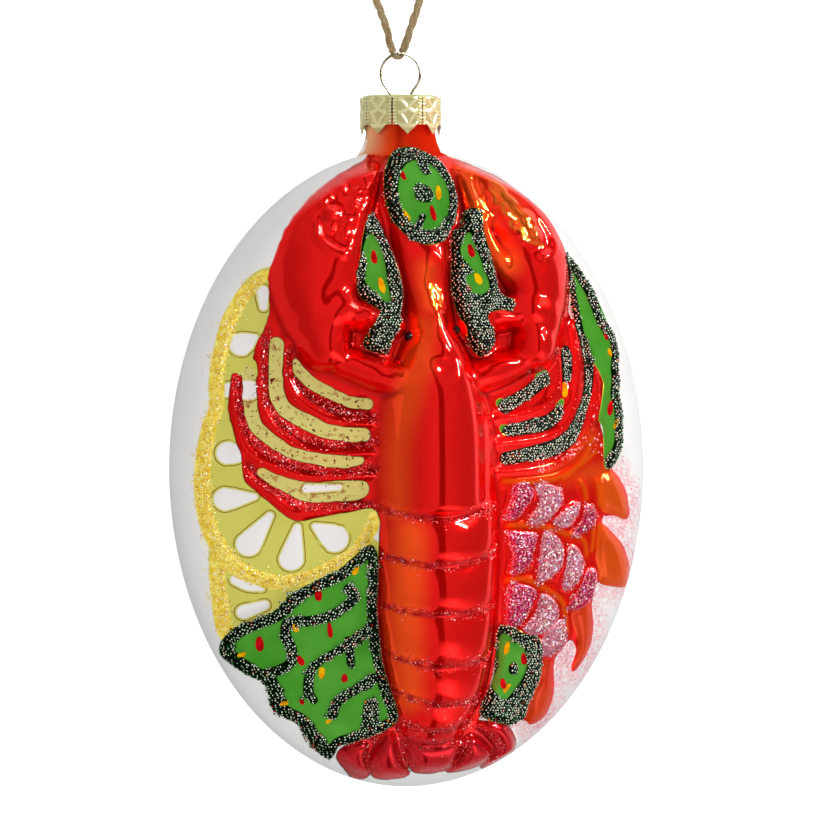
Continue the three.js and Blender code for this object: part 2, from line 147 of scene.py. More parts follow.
def layFloor():
    bpy.ops.mesh.primitive_plane_add(size=floorPaper["size"])
    floor = bpy.context.object
    floor.name = "floor"
    paper = bpy.data.materials.new("palePaper")
    paper.use_nodes = True
    nodes = paper.node_tree.nodes
    links = paper.node_tree.links
    bsdf = nodes["Principled BSDF"]
    bsdf.inputs["Base Color"].default_value = floorPaper["tone"]
    bsdf.inputs["Roughness"].default_value = floorPaper["roughness"]
    bsdf.inputs["Emission Color"].default_value = floorPaper["glow"]
    path = nodes.new("ShaderNodeLightPath")
    glow = nodes.new("ShaderNodeMapRange")
    glow.inputs["To Min"].default_value = floorPaper["thrown"]
    glow.inputs["To Max"].default_value = floorPaper["seen"]
    links.new(path.outputs["Is Camera Ray"], glow.inputs["Value"])
    links.new(glow.outputs["Result"], bsdf.inputs["Emission Strength"])
    floor.data.materials.append(paper)


placeCamera()
placeLamps()
studioWorld()
layFloor()
bpy.context.scene.view_settings.view_transform = "Standard"
print("studio set")


# small helpers
def alone(piece):
    bpy.ops.object.select_all(action="DESELECT")
    piece.select_set(True)
    bpy.context.view_layer.objects.active = piece


def joined(name, pieces):
    alone(pieces[0])
    for piece in pieces[1:]:
        piece.select_set(True)
    if len(pieces) > 1:
        bpy.ops.object.join()
    pieces[0].name = name
    pieces[0].data.name = name
    return pieces[0]


def finishedIn(piece, material):
    piece.data.materials.clear()
    piece.data.materials.append(material)
    return piece


# edit mode with everything selected, and back with all faces turned outward
def startEditing(piece):
    alone(piece)
    bpy.ops.object.mode_set(mode="EDIT")
    bpy.ops.mesh.select_all(action="SELECT")


def stopEditing():
    bpy.ops.mesh.select_all(action="SELECT")
    bpy.ops.mesh.normals_make_consistent(inside=False)
    bpy.ops.object.mode_set(mode="OBJECT")


def closeSeams(piece, gap=1e-6):
    startEditing(piece)
    bpy.ops.mesh.remove_doubles(threshold=gap)
    stopEditing()


# joins or cuts with another piece, which is then gone
def combined(piece, other, operation, solver):
    alone(piece)
    change = piece.modifiers.new("combine", "BOOLEAN")
    change.operation = operation
    change.solver = solver
    change.object = other
    bpy.ops.object.modifier_apply(modifier=change.name)
    bpy.data.objects.remove(other)


def rawPlaces(piece):
    points = np.empty(len(piece.data.vertices) * 3)
    piece.data.vertices.foreach_get("co", points)
    return points.reshape(-1, 3)


def vertexPlaces(piece):
    return rawPlaces(piece) / mm


def movePlaces(piece, x, y, z):
    piece.data.vertices.foreach_set("co", (np.stack([x, y, z], axis=1) * mm).ravel())


# a square sheet, with each vertex's place across and along it from -1 to 1
def gridSheet(across, along):
    bpy.ops.mesh.primitive_grid_add(x_subdivisions=across, y_subdivisions=along, size=2)
    piece = bpy.context.object
    u, v, height = rawPlaces(piece).T
    return piece, u, v


def smoothLine(points, closed=False, perSpan=6):
    stations = np.array(points, float)
    if closed:
        padded = np.vstack([stations[-1:], stations, stations[:2]])
    else:
        before = 2 * stations[:1] - stations[1:2]
        after = 2 * stations[-1:] - stations[-2:-1]
        padded = np.vstack([before, stations, after])
    t = np.linspace(0, 1, perSpan, endpoint=False)[:, None]
    spans = []
    for a, b, c, d in zip(padded, padded[1:], padded[2:], padded[3:]):
        curving = 2 * a - 5 * b + 4 * c - d + t * (3 * (b - c) + d - a)
        spans.append(b + 0.5 * t * (c - a + t * curving))
    line = np.vstack(spans)
    return line if closed else np.vstack([line, stations[-1:]])


def evenLine(points, step):
    line = smoothLine(points, perSpan=24)
    runs = np.linalg.norm(np.diff(line, axis=0), axis=1)
    along = np.concatenate([[0], np.cumsum(runs)])
    places = np.linspace(0, along[-1], max(2, int(round(along[-1] / step)) + 1))
    return np.stack([np.interp(places, along, line[:, i]) for i in range(3)], axis=1), places


def tube(name, points, radius, corners=2, radii=None):
    curve = bpy.data.curves.new(name, "CURVE")
    curve.dimensions = "3D"
    curve.bevel_depth = radius * mm
    curve.bevel_resolution = corners
    curve.use_fill_caps = True
    spline = curve.splines.new("POLY")
    spline.points.add(len(points) - 1)
    for i, point in enumerate(points):
        spline.points[i].co = (*(np.array(point) * mm), 1)
        spline.points[i].radius = 1 if radii is None else radii[i]
    piece = bpy.data.objects.new(name, curve)
    bpy.context.scene.collection.objects.link(piece)
    alone(piece)
    bpy.ops.object.convert(target="MESH")
    closeSeams(piece)
    bpy.ops.object.shade_smooth()
    return piece


# jute twine, two strands from the ring to the knot
twine = {
    "radius": 0.8, "plies": 3, "plyRadius": 0.4, "plyOffset": 0.36, "pitch": 7.5, "step": 0.45,
    "leftLength": 0.0525, "rightLength": 0.0515,
    "steady": (0.31, 0.17, 0.94),  # a direction that no strand runs along
    "wander": (0.25, 12), "swell": (0.07, 16),  # how much, and at how many places
}
fibres = {
    "count": 150, "over": 57,  # so many on such a length
    "radius": 0.022, "length": 2.2, "lengths": (0.4, 1.2), "root": 0.72, "sunk": 0.2,
    "lean": (0.05, 0.5), "bend": (-0.25, 0.3), "middle": 0.45, "end": 0.9,
}
bight = {
    "middle": -0.6, "reach": 1.3, "drop": 0.7, "swing": 1.2, "turn": 80, "thin": 0.62, "wireTop": 76.05,
    "points": 9,
}
tightKnot = {
    "centre": (0, 126, 2.1), "across": 0.56, "along": 0.5, "deep": 0.95, "points": 40,
    "tail": [(0.5, 0.6, 0), (2.2, 4.2, -0.6), (2.8, 7.6, -1.2)],
    "lead": [(0.9, -1.6, 0.1), (1.15, -2.5, -0.1)],
}
twineSeeds = {"left": 3, "right": 4, "bight": 5, "knot": 6, "tail": 8, "lead": 12}
leftRoute = [
    (-1.9, 76.2, 14.75), (-2.4, 78, 14.8), (-3, 80.5, 14.5), (-3.6, 83, 13.7), (-4.3, 85.6, 12.5),
    (-5, 88.2, 10.9), (-5.7, 90.8, 8.9), (-6.3, 93.4, 6.8), (-6.8, 96, 4.8), (-7.2, 99, 3),
    (-7.3, 102.5, 1.7), (-7, 106.5, 1.05), (-6.2, 110.5, 0.9), (-4.9, 114.5, 0.9), (-3.4, 118, 1),
    (-2, 121, 1.5), (-1.2, 123.2, 2),
]
rightRoute = [
    (0.7, 76.4, 12), (1.6, 78.4, 12), (2.5, 80.8, 11.6), (3.5, 83.2, 10.9), (4.5, 85.6, 9.9),
    (5.4, 88.2, 8.6), (6.2, 90.8, 7.1), (6.9, 93.4, 5.5), (7.4, 96.2, 4), (7.7, 99.2, 2.6),
    (7.6, 102.6, 1.6), (7.1, 106.5, 1.05), (6.2, 110.5, 0.9), (4.9, 114.4, 0.9), (3.4, 117.9, 1),
    (2, 120.9, 1.5), (1.2, 123.2, 2),
]


def lineFrames(line):
    forward = np.gradient(line, axis=0)
    forward /= np.linalg.norm(forward, axis=1)[:, None]
    side = np.cross(forward, twine["steady"])
    side /= np.linalg.norm(side, axis=1)[:, None]
    return forward, side, np.cross(side, forward)


def twistedTwine(name, route, seed, thin=1):
    rng = np.random.default_rng(seed)
    line, along = evenLine(route, twine["step"])
    forward, side, lift = lineFrames(line)
    pieces = []

    def drifting(middle, spread, places):
        return np.interp(along, np.linspace(0, along[-1], places), rng.normal(middle, spread, places))

    for ply in range(twine["plies"]):
        angle = 2 * math.pi * (along / twine["pitch"] + ply / twine["plies"]) + drifting(0, *twine["wander"])
        swell = drifting(1, *twine["swell"])
        around = np.cos(angle)[:, None] * side + np.sin(angle)[:, None] * lift
        plyLine = line + thin * twine["plyOffset"] * around
        pieces.append(tube(name, plyLine, thin * twine["plyRadius"], 2, swell))
    for fibre in range(int(fibres["count"] * along[-1] / fibres["over"])):
        i = rng.integers(0, len(line))
        turn = rng.uniform(0, 2 * math.pi)
        out = math.cos(turn) * side[i] + math.sin(turn) * lift[i]
        reach = fibres["length"] * rng.uniform(*fibres["lengths"])
        lean = forward[i] * rng.choice([-1, 1]) + out * rng.uniform(*fibres["lean"])
        start = line[i] + out * fibres["root"] * thin
        bend = out * rng.uniform(*fibres["bend"]) * reach
        middle = start + lean * reach * fibres["middle"]
        end = start + lean * reach * fibres["end"] + bend
        points = np.array([start - out * fibres["sunk"], middle, end])
        points[:, 2] = np.maximum(points[:, 2], fibres["radius"])  # none goes through the floor
        pieces.append(tube(name, points, fibres["radius"], 0))
    return joined(name, pieces), line


def bightTwine():
    points = []
    for angle in np.radians(np.linspace(-bight["turn"], bight["turn"], bight["points"])):
        x = bight["middle"] - bight["reach"] * math.sin(angle)
        y = bight["wireTop"] - bight["drop"] * math.cos(angle)
        points.append((x, y, axisHeight + bight["swing"] * math.sin(angle)))
    return twistedTwine("twineBight", points, twineSeeds["bight"], bight["thin"])[0]


# an overhand knot pulled tight, with two short tails
def knotTwine():
    middle = np.array(tightKnot["centre"])
    turns = []
    for t in np.linspace(0, 2 * math.pi, tightKnot["points"], endpoint=False):
        x = tightKnot["across"] * (math.sin(t) + 2 * math.sin(2 * t))
        y = tightKnot["along"] * (math.cos(t) - 2 * math.cos(2 * t))
        turns.append(middle + np.array((x, y, -tightKnot["deep"] * math.sin(3 * t))))
    pieces = [twistedTwine("twineKnot", turns, twineSeeds["knot"])[0]]
    for side in (-1, 1):
        for end in ("tail", "lead"):
            points = [middle + np.array((side * x, y, z)) for x, y, z in tightKnot[end]]
            pieces.append(twistedTwine("twineKnot", points, twineSeeds[end] + side)[0])
    return joined("twineKnot", pieces)


leftTwine, leftLine = twistedTwine("twineLeft", leftRoute, twineSeeds["left"])
rightTwine, rightLine = twistedTwine("twineRight", rightRoute, twineSeeds["right"])
bightPiece = bightTwine()
knot = knotTwine()
print("twine laid")

# the platter's glass: a sheet of heights that every relief is raised on, in millimetres
platter = {"halfWidth": 45, "halfLength": 58.4, "frontDepth": 16, "backDepth": 19}
sheet = {
    "step": 0.25, "halfAcross": 47, "halfAlong": 61, "thinnest": 0.05, "strokeReach": 3, "outlineReach": 4,
    "lumpsFrom": (-50, -64), "lumpsOver": (100, 130),
}
columns = np.arange(-sheet["halfAcross"], sheet["halfAcross"] + 0.01, sheet["step"])
rows = np.arange(-sheet["halfAlong"], sheet["halfAlong"] + 0.01, sheet["step"])
gridX, gridY = np.meshgrid(columns, rows)
flat = np.zeros(gridX.shape)
farAway = 60.0
tiny = 1e-9


# 0 in the middle of the platter, 1 at its edge
def rimShare(x, y):
    return np.hypot(x / platter["halfWidth"], y / platter["halfLength"])


def lensHeight(x, y):
    inside = 1 - (x / platter["halfWidth"]) ** 2 - (y / platter["halfLength"]) ** 2
    return rimHeight + platter["frontDepth"] * np.sqrt(np.clip(inside, 0, None))


def windowOf(line, reach):
    rowPart = slice(*np.searchsorted(rows, (line[:, 1].min() - reach, line[:, 1].max() + reach)))
    columnPart = slice(*np.searchsorted(columns, (line[:, 0].min() - reach, line[:, 0].max() + reach)))
    return rowPart, columnPart


# how far along a straight run each place lies, from 0 to 1, and how far off it
def alongRun(x, y, start, run, squared):
    t = np.clip(((x - start[0]) * run[0] + (y - start[1]) * run[1]) / max(squared, tiny), 0, 1)
    return t, np.hypot(x - start[0] - t * run[0], y - start[1] - t * run[1])


# depth inside a stroke of x, y, half width; the share across it and the height along it come too
def strokeField(stations):
    line = smoothLine(stations)
    window = windowOf(line, line[:, 2].max() + sheet["strokeReach"])
    x, y = gridX[window], gridY[window]
    depth = np.full(x.shape, -farAway)
    share = np.full(x.shape, farAway)
    tall = np.zeros(x.shape)
    for a, run in zip(line, np.diff(line, axis=0)):
        t, distance = alongRun(x, y, a, run, run[0] ** 2 + run[1] ** 2)
        width = np.maximum(a[2] + t * run[2], sheet["thinnest"])
        closer = width - distance > depth
        depth = np.where(closer, width - distance, depth)
        share = np.where(closer, distance / width, share)
        if len(a) > 3:
            tall = np.where(closer, a[3] + t * run[3], tall)
    return window, depth, share, tall


def strokes(many):
    field = np.full(gridX.shape, -farAway)
    for stations in many:
        window, depth = strokeField(stations)[:2]
        field[window] = np.maximum(field[window], depth)
    return field


# depth inside closed outlines, negative outside
def outlines(many):
    field = np.full(gridX.shape, -farAway)
    for points in many:
        line = smoothLine(points, closed=True, perSpan=4)
        window = windowOf(line, sheet["outlineReach"])
        x, y = gridX[window], gridY[window]
        nearest = np.full(x.shape, farAway)
        inside = np.zeros(x.shape, bool)
        for a, b in zip(line, np.roll(line, -1, axis=0)):
            run = b - a
            t, distance = alongRun(x, y, a, run, run @ run)
            nearest = np.minimum(nearest, distance)
            if run[1] != 0:
                crosses = (a[1] > y) != (b[1] > y)
                inside ^= crosses & (x < a[0] + (y - a[1]) * run[0] / run[1])
        field[window] = np.maximum(field[window], np.where(inside, nearest, -nearest))
    return field


def soften(field, passes):
    for _ in range(passes):
        field = (np.roll(field, 1, 0) + 2 * field + np.roll(field, -1, 0)) / 4
        field = (np.roll(field, 1, 1) + 2 * field + np.roll(field, -1, 1)) / 4
    return field


def ease(value, low, high):
    t = np.clip((value - low) / (high - low), 0, 1)
    return t * t * (3 - 2 * t)


# the higher of two reliefs, run together where they meet
def merged(first, second, blend):
    overlap = np.clip(blend - np.abs(first - second), 0, None) ** 2 / (4 * blend)
    return np.maximum(first, second) + overlap * ease(np.minimum(first, second), 0, 1.5)


def raiseStrokes(heights, many, height=None, profile=0.5, passes=0):
    layer = np.zeros(gridX.shape)
    for stations in many:
        window, depth, share, tall = strokeField(stations)
        crest = tall if height is None else height
        layer[window] = np.maximum(layer[window], crest * np.clip(1 - share ** 2, 0, None) ** profile)
    return np.maximum(heights, soften(layer, passes))


def betweenCells(cells, column, row, curve=lambda t: t):
    c, r = column.astype(int), row.astype(int)
    u, v = curve(column - c), curve(row - r)
    low = cells[r, c] * (1 - u) + cells[r, c + 1] * u
    high = cells[r + 1, c] * (1 - u) + cells[r + 1, c + 1] * u
    return low * (1 - v) + high * v


def bilinear(field, x, y):
    column = np.clip((x + sheet["halfAcross"]) / sheet["step"], 0, len(columns) - 1.001)
    row = np.clip((y + sheet["halfAlong"]) / sheet["step"], 0, len(rows) - 1.001)
    return betweenCells(field, column, row)


# a smooth random field about one unit high, with lumps of that size
def lumps(size, seed):
    rng = np.random.default_rng(seed)
    field = np.zeros(gridX.shape)
    left, foot = sheet["lumpsFrom"]
    across, along = sheet["lumpsOver"]
    for octave in (1, 0.5):
        cell = size * octave
        coarse = rng.normal(0, octave, (int(along / cell) + 3, int(across / cell) + 3))
        field += betweenCells(coarse, (gridX - left) / cell, (gridY - foot) / cell, lambda t: ease(t, 0, 1))
    return field


def mirrored(stations):
    return [(-x, *rest) for x, *rest in stations]


def widened(lines, halfWidth):
    return [[(x, y, halfWidth) for x, y in line] for line in lines]


# lobster, as stations of x, y, half width and height
body = {
    "crest": [
        (-0.6, 33.5, 1.2, 4.9), (-0.3, 28.5, 2.2, 5.2), (0.1, 24.5, 3.9, 5.9), (0.3, 17, 7.2, 7.5),
        (0.3, 8, 9, 8.2), (0.4, -1, 9.2, 8.2), (0.5, -10, 9.3, 8)],
    "flank": [(0.4, 19, 6.5, 3.6), (0.5, 8, 10.8, 4.6), (0.6, -1, 11.2, 4.8), (0.7, -8, 11.3, 5)],
    "rostrum": [
        (0.2, 22, 5, 4.6), (-0.2, 27, 4.4, 4.7), (-0.7, 32, 4.6, 4.7), (-1.1, 37, 5.3, 4.6),
        (-1.3, 42, 5.6, 4.4), (-0.9, 52, 4.4, 4)],
    "rearEdge": (-0.2, 1.2), "knobblyAcross": 9, "knobblySoft": 3, "knobblyFrom": (13, 20),
}
tail = {
    "lines": [
        (-7.2, -9, -6.8), (-15.2, -17.6, -14.3), (-24.4, -26.5, -24.6), (-33.1, -35.9, -33.8),
        (-40.1, -42.9, -41.4), (-46, -47.8, -45.7), (-49.2, -50.2, -49.2)],
    "centres": [0.6, 0.8, 1.1, 1.4, 1.7, 1.8, 1.8],
    "halfWidths": [11.4, 11.5, 11.2, 10.4, 8.8, 6.8, 5.2],
    "heights": [6.3, 6.4, 6.2, 5.6, 4.7, 3.5, 2.4],
    "swell": 0.2, "peak": 0.72, "climb": 0.7, "tuck": -0.2, "keel": 0.15, "keelWidth": 3.2,
    "glitterHalfWidth": 0.45, "glitterReach": 1.02,
}
claws = {
    "palm": [
        (20, 21.6, 4, 5), (21.2, 28, 5.4, 5.5), (21.3, 34.5, 6.6, 5.9), (20.6, 40, 7.3, 6.6),
        (17.4, 47, 6.4, 6.3), (10.5, 54.2, 3.4, 4.6)],
    "leftPalm": [
        (-20, 21.6, 4.2, 5), (-20.8, 28, 6.4, 5.6), (-20.9, 34, 7.8, 6), (-20.2, 40, 8.6, 6.8),
        (-17.2, 47, 7.4, 6.5), (-10.8, 54.2, 3.8, 4.8)],
    "thumb": [
        (8.6, 53, 1.3, 4.6), (9.6, 48, 1.7, 5.4), (11.2, 42, 2.1, 5.4), (14, 37.6, 2.6, 4.4),
        (17, 34.4, 2.6, 3.6)],
    "wrist": [(22.5, 28.2, 3.2, 4.8), (17, 28.8, 3.4, 5.2), (12.4, 27.4, 2.5, 5.2), (7, 26, 2.2, 4.8)],
    "elbow": [(20.1, 22.4, 4.4, 5.4), (19.9, 22.3, 4.4, 5.4)],
    "arm": [(16.5, 19.2, 2.8, 4.3), (11, 17.3, 3.1, 4.9), (6.5, 16, 3, 4.6)],
    "leftPad": [
        (-16.1, 52.9), (-13.1, 53.8), (-12.5, 51.9), (-11.7, 48.9), (-13.9, 46.5), (-15, 43.1),
        (-16.6, 39.7), (-19.2, 40.1), (-21, 42.8), (-19.7, 47.2)],
    "rightPad": [
        (9, 53), (9.9, 47.6), (11.6, 42.7), (13.4, 39.9), (16.8, 38.5), (22, 39.2), (23.4, 40.9),
        (22.2, 44.1), (19.5, 48), (15.4, 51.9), (12.2, 53.6)],
    "padDepth": 0.9, "padEdge": (-1, 0.9), "lipHeight": 1.3, "lipHalfWidth": 0.65,
    "lipEdge": (-0.1, 0.55), "zigzagHeight": 1.3, "zigzagHalfWidth": 0.4, "edgeHeight": 1.2,
    "edgeHalfWidth": 0.5, "unevenFrom": (12, 19), "palmBlend": 1.6, "limbBlend": 3,
    "lips": [
        [(-20.9, 44.4), (-20.9, 41.8), (-19.3, 39.9), (-16.1, 38.7)],
        [(-20.1, 49.4), (-19.3, 47.4), (-18.6, 46)],
        [(-17, 53.4), (-15, 53.6), (-13.8, 52.6)],
        [(24.4, 41.4), (23.4, 39.4), (20.8, 38.4)],
        [(10.4, 51.4), (11, 48), (12, 44.6)]],
    "edges": [
        [(8.4, 29.5), (12.4, 27.7), (16.2, 25.9)],
        [(-14, 21.4), (-12, 20.3), (-9.8, 19)],
        [(-12.6, 30.2), (-10.9, 31), (-9.6, 31.6)],
        [(9.6, 18.6), (12.4, 19.2), (14.6, 19.8)]],
    "knobs": [
        (-13.4, 53, 1.3, 1.2), (-15.7, 51.2, 1.5, 1.5), (-13, 50.2, 1.3, 1.4), (-14, 47.6, 1.4, 1.3),
        (-18.2, 49.6, 1.5, 1.2), (-17.8, 46.2, 1.7, 1.2), (-18.8, 43.4, 1.5, 1.2),
        (-16.2, 42.4, 1.4, 1.3), (-15.4, 45, 1.2, 1), (-11.2, 51, 1, 1), (-16.4, 30, 3.2, 0.6),
        (-12, 28.6, 1.8, 0.9), (-19, 26.8, 3, 0.6), (11.8, 50.4, 1, 0.9), (12.2, 48.2, 1.1, 1),
        (11.9, 46, 1.1, 1), (13.2, 44.2, 1.2, 0.9), (14.6, 46.4, 1.1, 0.8), (15.2, 43, 1.2, 0.9),
        (18.4, 29.6, 3, 0.6), (17, 41.4, 1.4, 0.7), (19.4, 45.6, 1.5, 0.7), (20.4, 42.6, 1.4, 0.7)],
    "zigzags": [
        [(12.3, 50.9), (13.3, 49.8), (12.9, 48.6), (14.4, 48), (14.4, 46.6), (16, 45.6), (15.4, 44.2),
         (17.4, 43.2), (17.4, 41.9), (19.3, 41.1), (21.5, 40.6)],
        [(13.6, 52.4), (15, 51.2), (15, 49.8), (16.6, 48.6), (16.8, 47.2), (18.2, 46), (18.4, 44.6),
         (19.8, 43.2), (20.4, 41.6)]],
    "goldBand": [
        (12.2, 53.2, 0.3), (14.2, 50.4, 0.6), (16.4, 46.6, 0.7), (18.6, 43, 0.5), (20.6, 41, 0.3)],
}
fan = {
    "height": 3.1, "shoulder": 2.3, "wider": 0.25, "rootHalfWidth": 1.5, "glitterHalfWidth": 0.5,
    "lobes": [
        [(-15, -52), (-13.6, -50.2), (-10.5, -49.5), (-9.8, -50.6), (-10, -52.6), (-8.6, -56.1),
         (-10.5, -56.5), (-13.4, -54.2)],
        [(-9.4, -53.2), (-8.5, -50.8), (-6.1, -47.5), (-4.7, -50.4), (-3.2, -53.8), (-1.4, -55.8),
         (-4.7, -56.6), (-7.4, -56.2)],
        [(-3.4, -49.8), (1.7, -50), (7.6, -49.2), (7.3, -52.2), (5.9, -54.9), (1.2, -55.5), (-0.9, -54.7),
         (-2.1, -52.6)],
        [(8.1, -49.2), (10.1, -48.8), (13.1, -50.8), (14.4, -52), (13, -54), (9.5, -55.1), (5.9, -55.3),
         (7.5, -53.2)],
        [(9.6, -46.3), (15.2, -46.6), (17.8, -48.4), (19.1, -50.6), (19.2, -53.1), (16.6, -54.7),
         (12.8, -54.7), (14.7, -52.7), (14.6, -51), (12.7, -48.6)]],
    "lines": [
        [(-5.2, -45.7), (-7.9, -47.9), (-10, -50.2), (-9.9, -53), (-8.6, -55.8)],
        [(-5.3, -46.5), (-4.2, -50.6), (-2.7, -53.6), (-1.1, -55.5)],
        [(8.5, -46.9), (8.3, -50.2), (7.6, -52.8), (5.9, -54.8)],
        [(8.5, -46.5), (11.8, -48.1), (14.1, -50.2), (14.8, -52.2), (12.9, -54.5)]],
}
# legs: ridges and glitter as x, y; what shows between the legs as x, y and half width
legs = {
    "height": 1.7, "halfWidth": 1.05, "profile": 0.6, "glitterHalfWidth": 0.75, "thinHalfWidth": 0.6,
    "thinly": 1.05,
    "leftRidges": [
        [(-26.4, 22.8), (-26.7, 18.5), (-26.3, 15.3), (-25.1, 13), (-22.9, 11), (-20, 9.3), (-17.1, 8.5),
         (-11, 8.1)],
        [(-31, 21), (-31.3, 16.4), (-31.3, 13.2), (-30.8, 10.2), (-29.4, 7.5), (-27.1, 5.4), (-24.5, 3.8),
         (-21.6, 3), (-18.2, 2.6), (-11, 3)],
        [(-35.5, 16.2), (-35.8, 13.2), (-35.5, 9.7), (-35, 6.5), (-33.8, 3.5), (-31.8, 1.6), (-28.9, 0.3),
         (-25.6, -1), (-21.9, -1.7), (-18.2, -1.6), (-11, -1)],
        [(-35.1, 2.4), (-34.5, 0.3), (-33.3, -1.8), (-31.5, -3.5), (-29.5, -5.1), (-27.4, -7),
         (-25.4, -8.2), (-23.4, -8.4), (-20.8, -7.9), (-16.8, -7.2), (-11, -7.2)]],
    "rightRidges": [
        [(12, 9), (18, 9.9), (22, 11.6), (24.2, 14.3), (24.6, 18), (24.3, 22)],
        [(12, 4.4), (18, 5), (22, 5.8), (25.4, 7.4), (27.4, 10.2), (28.4, 13.5), (28.9, 17.5), (28.6, 22),
         (28, 26)],
        [(12, -0.8), (19, -0.2), (24, 1), (28, 3.4), (30.6, 6.8), (32, 10), (32.8, 13.5), (32.6, 17),
         (31.8, 19.4)]],
    "glitter": [
        [(-25.5, 20.7), (-25.6, 17.2), (-24.7, 14.8), (-22.2, 12.9), (-19.3, 11.3), (-16.4, 10),
         (-11, 9.3)],
        [(-29.5, 24.4), (-30, 19.9), (-30.2, 14.5), (-29.8, 11.6), (-28.5, 9.2), (-26.2, 7), (-23.4, 5.4),
         (-20.7, 4.6), (-16.7, 4.3), (-11, 4.6)],
        [(-34.6, 16.4), (-34.5, 11.8), (-34.2, 9.2), (-33.4, 6.5), (-31.9, 4.6), (-29.6, 2.7),
         (-26.5, 1.1), (-23.4, 0), (-19.4, -0.4), (-11, -0.2)],
        [(-32.9, 0.3), (-31.6, -1.8), (-29.6, -3.5), (-27, -5.1), (-24.4, -6.4), (-21.8, -6.8),
         (-18, -6.5), (-11, -6.4)]],
    "leftGaps": [
        [(-24.9, 19.5, 0.4), (-24.1, 17.5, 1), (-21.8, 15.3, 1), (-18.9, 13.7, 1), (-15.7, 12.2, 1),
         (-12.1, 11.7, 1)],
        [(-28, 22.6, 1.1), (-28.3, 18.5, 1.1), (-28.3, 14.5, 1.2), (-27.3, 11.3, 1.3), (-25, 9.4, 1.3),
         (-22.4, 8.1, 1.4), (-19.3, 6.7, 1.3), (-15.8, 6.2, 1.3), (-12.8, 6.1, 1.2)],
        [(-33, 17.4, 1.1), (-32.9, 12.6, 1.1), (-32.7, 10.2, 1.1), (-32, 7.8, 1.1), (-30.2, 5.9, 1.1),
         (-27.9, 4.1, 1), (-25.4, 2.7, 1), (-21.9, 1.9, 1), (-18.5, 1.4, 1.1), (-15.3, 1.2, 1),
         (-13.5, 1.4, 0.7)],
        [(-31, -0.8, 0.7), (-29.2, -1.8, 1), (-26.9, -2.9, 1.2), (-24.3, -3.9, 1.6), (-21.7, -4.3, 1.8),
         (-18, -4.1, 1.8), (-14.7, -3.9, 1.8), (-13.4, -3.7, 1.5)]],
    "rightGaps": [
        [(13.9, 11.2, 1.1), (16.5, 12.6, 1), (19.3, 14.3, 1), (21.8, 16.2, 1.1)],
        [(14.5, 6.8, 0.9), (16.9, 7.2, 1), (19.9, 7.8, 1.2), (22.7, 8.5, 1.1), (24.3, 9.9, 0.9),
         (24.9, 10.9, 0.6)],
        [(26.2, 16, 0.6), (26.5, 17.2, 0.9), (26.5, 20.2, 1), (26.4, 21.4, 0.8)],
        [(14, 1.8, 1), (16.9, 2.3, 1.1), (19.9, 2.9, 1.2), (23.1, 3.6, 1.3), (25.7, 4.8, 1.3),
         (27.8, 6.9, 1.1), (29.1, 9.7, 0.9), (30.3, 12.4, 0.7), (31, 15.1, 0.7), (31.1, 17.8, 0.7),
         (30.8, 20.8, 0.7), (30.2, 23.3, 0.5), (29.2, 25.8, 0.5)]],
}
# edge of the red lacquer round the lobster, from the neck down the left and back up the right
lacquerEdge = [
    (-6.4, 66), (-6.6, 60), (-8.4, 56.8), (-11.8, 54.9), (-16.6, 52.3), (-21.8, 48.3), (-25.9, 43.4),
    (-28.2, 37.7), (-29, 34.2), (-28.9, 28.7), (-29.9, 25.4), (-31, 23.6), (-32.2, 20.3), (-31.7, 19),
    (-31.8, 16.4), (-34, 16.8), (-35.8, 17), (-36.5, 12.4), (-36.4, 9.2), (-35.5, 5.1), (-34.7, 2.5),
    (-34.5, -0.2), (-33.8, -2.4), (-32.2, -4), (-28.3, -7.5), (-26.2, -9), (-24.2, -9.5), (-21.7, -9),
    (-15.8, -7.9), (-10.8, -7.7), (-10.4, -14.5), (-10.7, -23.6), (-9.7, -32), (-8.2, -37.7),
    (-6.4, -42.5), (-5.6, -45.4), (-5.2, -48), (-3, -50.4), (1.7, -51), (7.4, -50.2), (9.6, -47.4),
    (11.2, -44.3), (12.3, -39), (13.9, -29.3), (17.2, -16.8), (25, -2.2), (33.8, 1.5), (34.3, 4.4),
    (33.3, 9), (34.2, 13.4), (34.4, 16.1), (31.7, 20.1), (30.2, 24), (28.7, 27.1), (27.5, 28.5),
    (28, 34.2), (27.1, 39.3), (23.5, 46.2), (20.6, 49.7), (16.7, 52.9), (12.5, 54.8), (8.6, 56.4),
    (6.6, 58), (6.6, 66)]

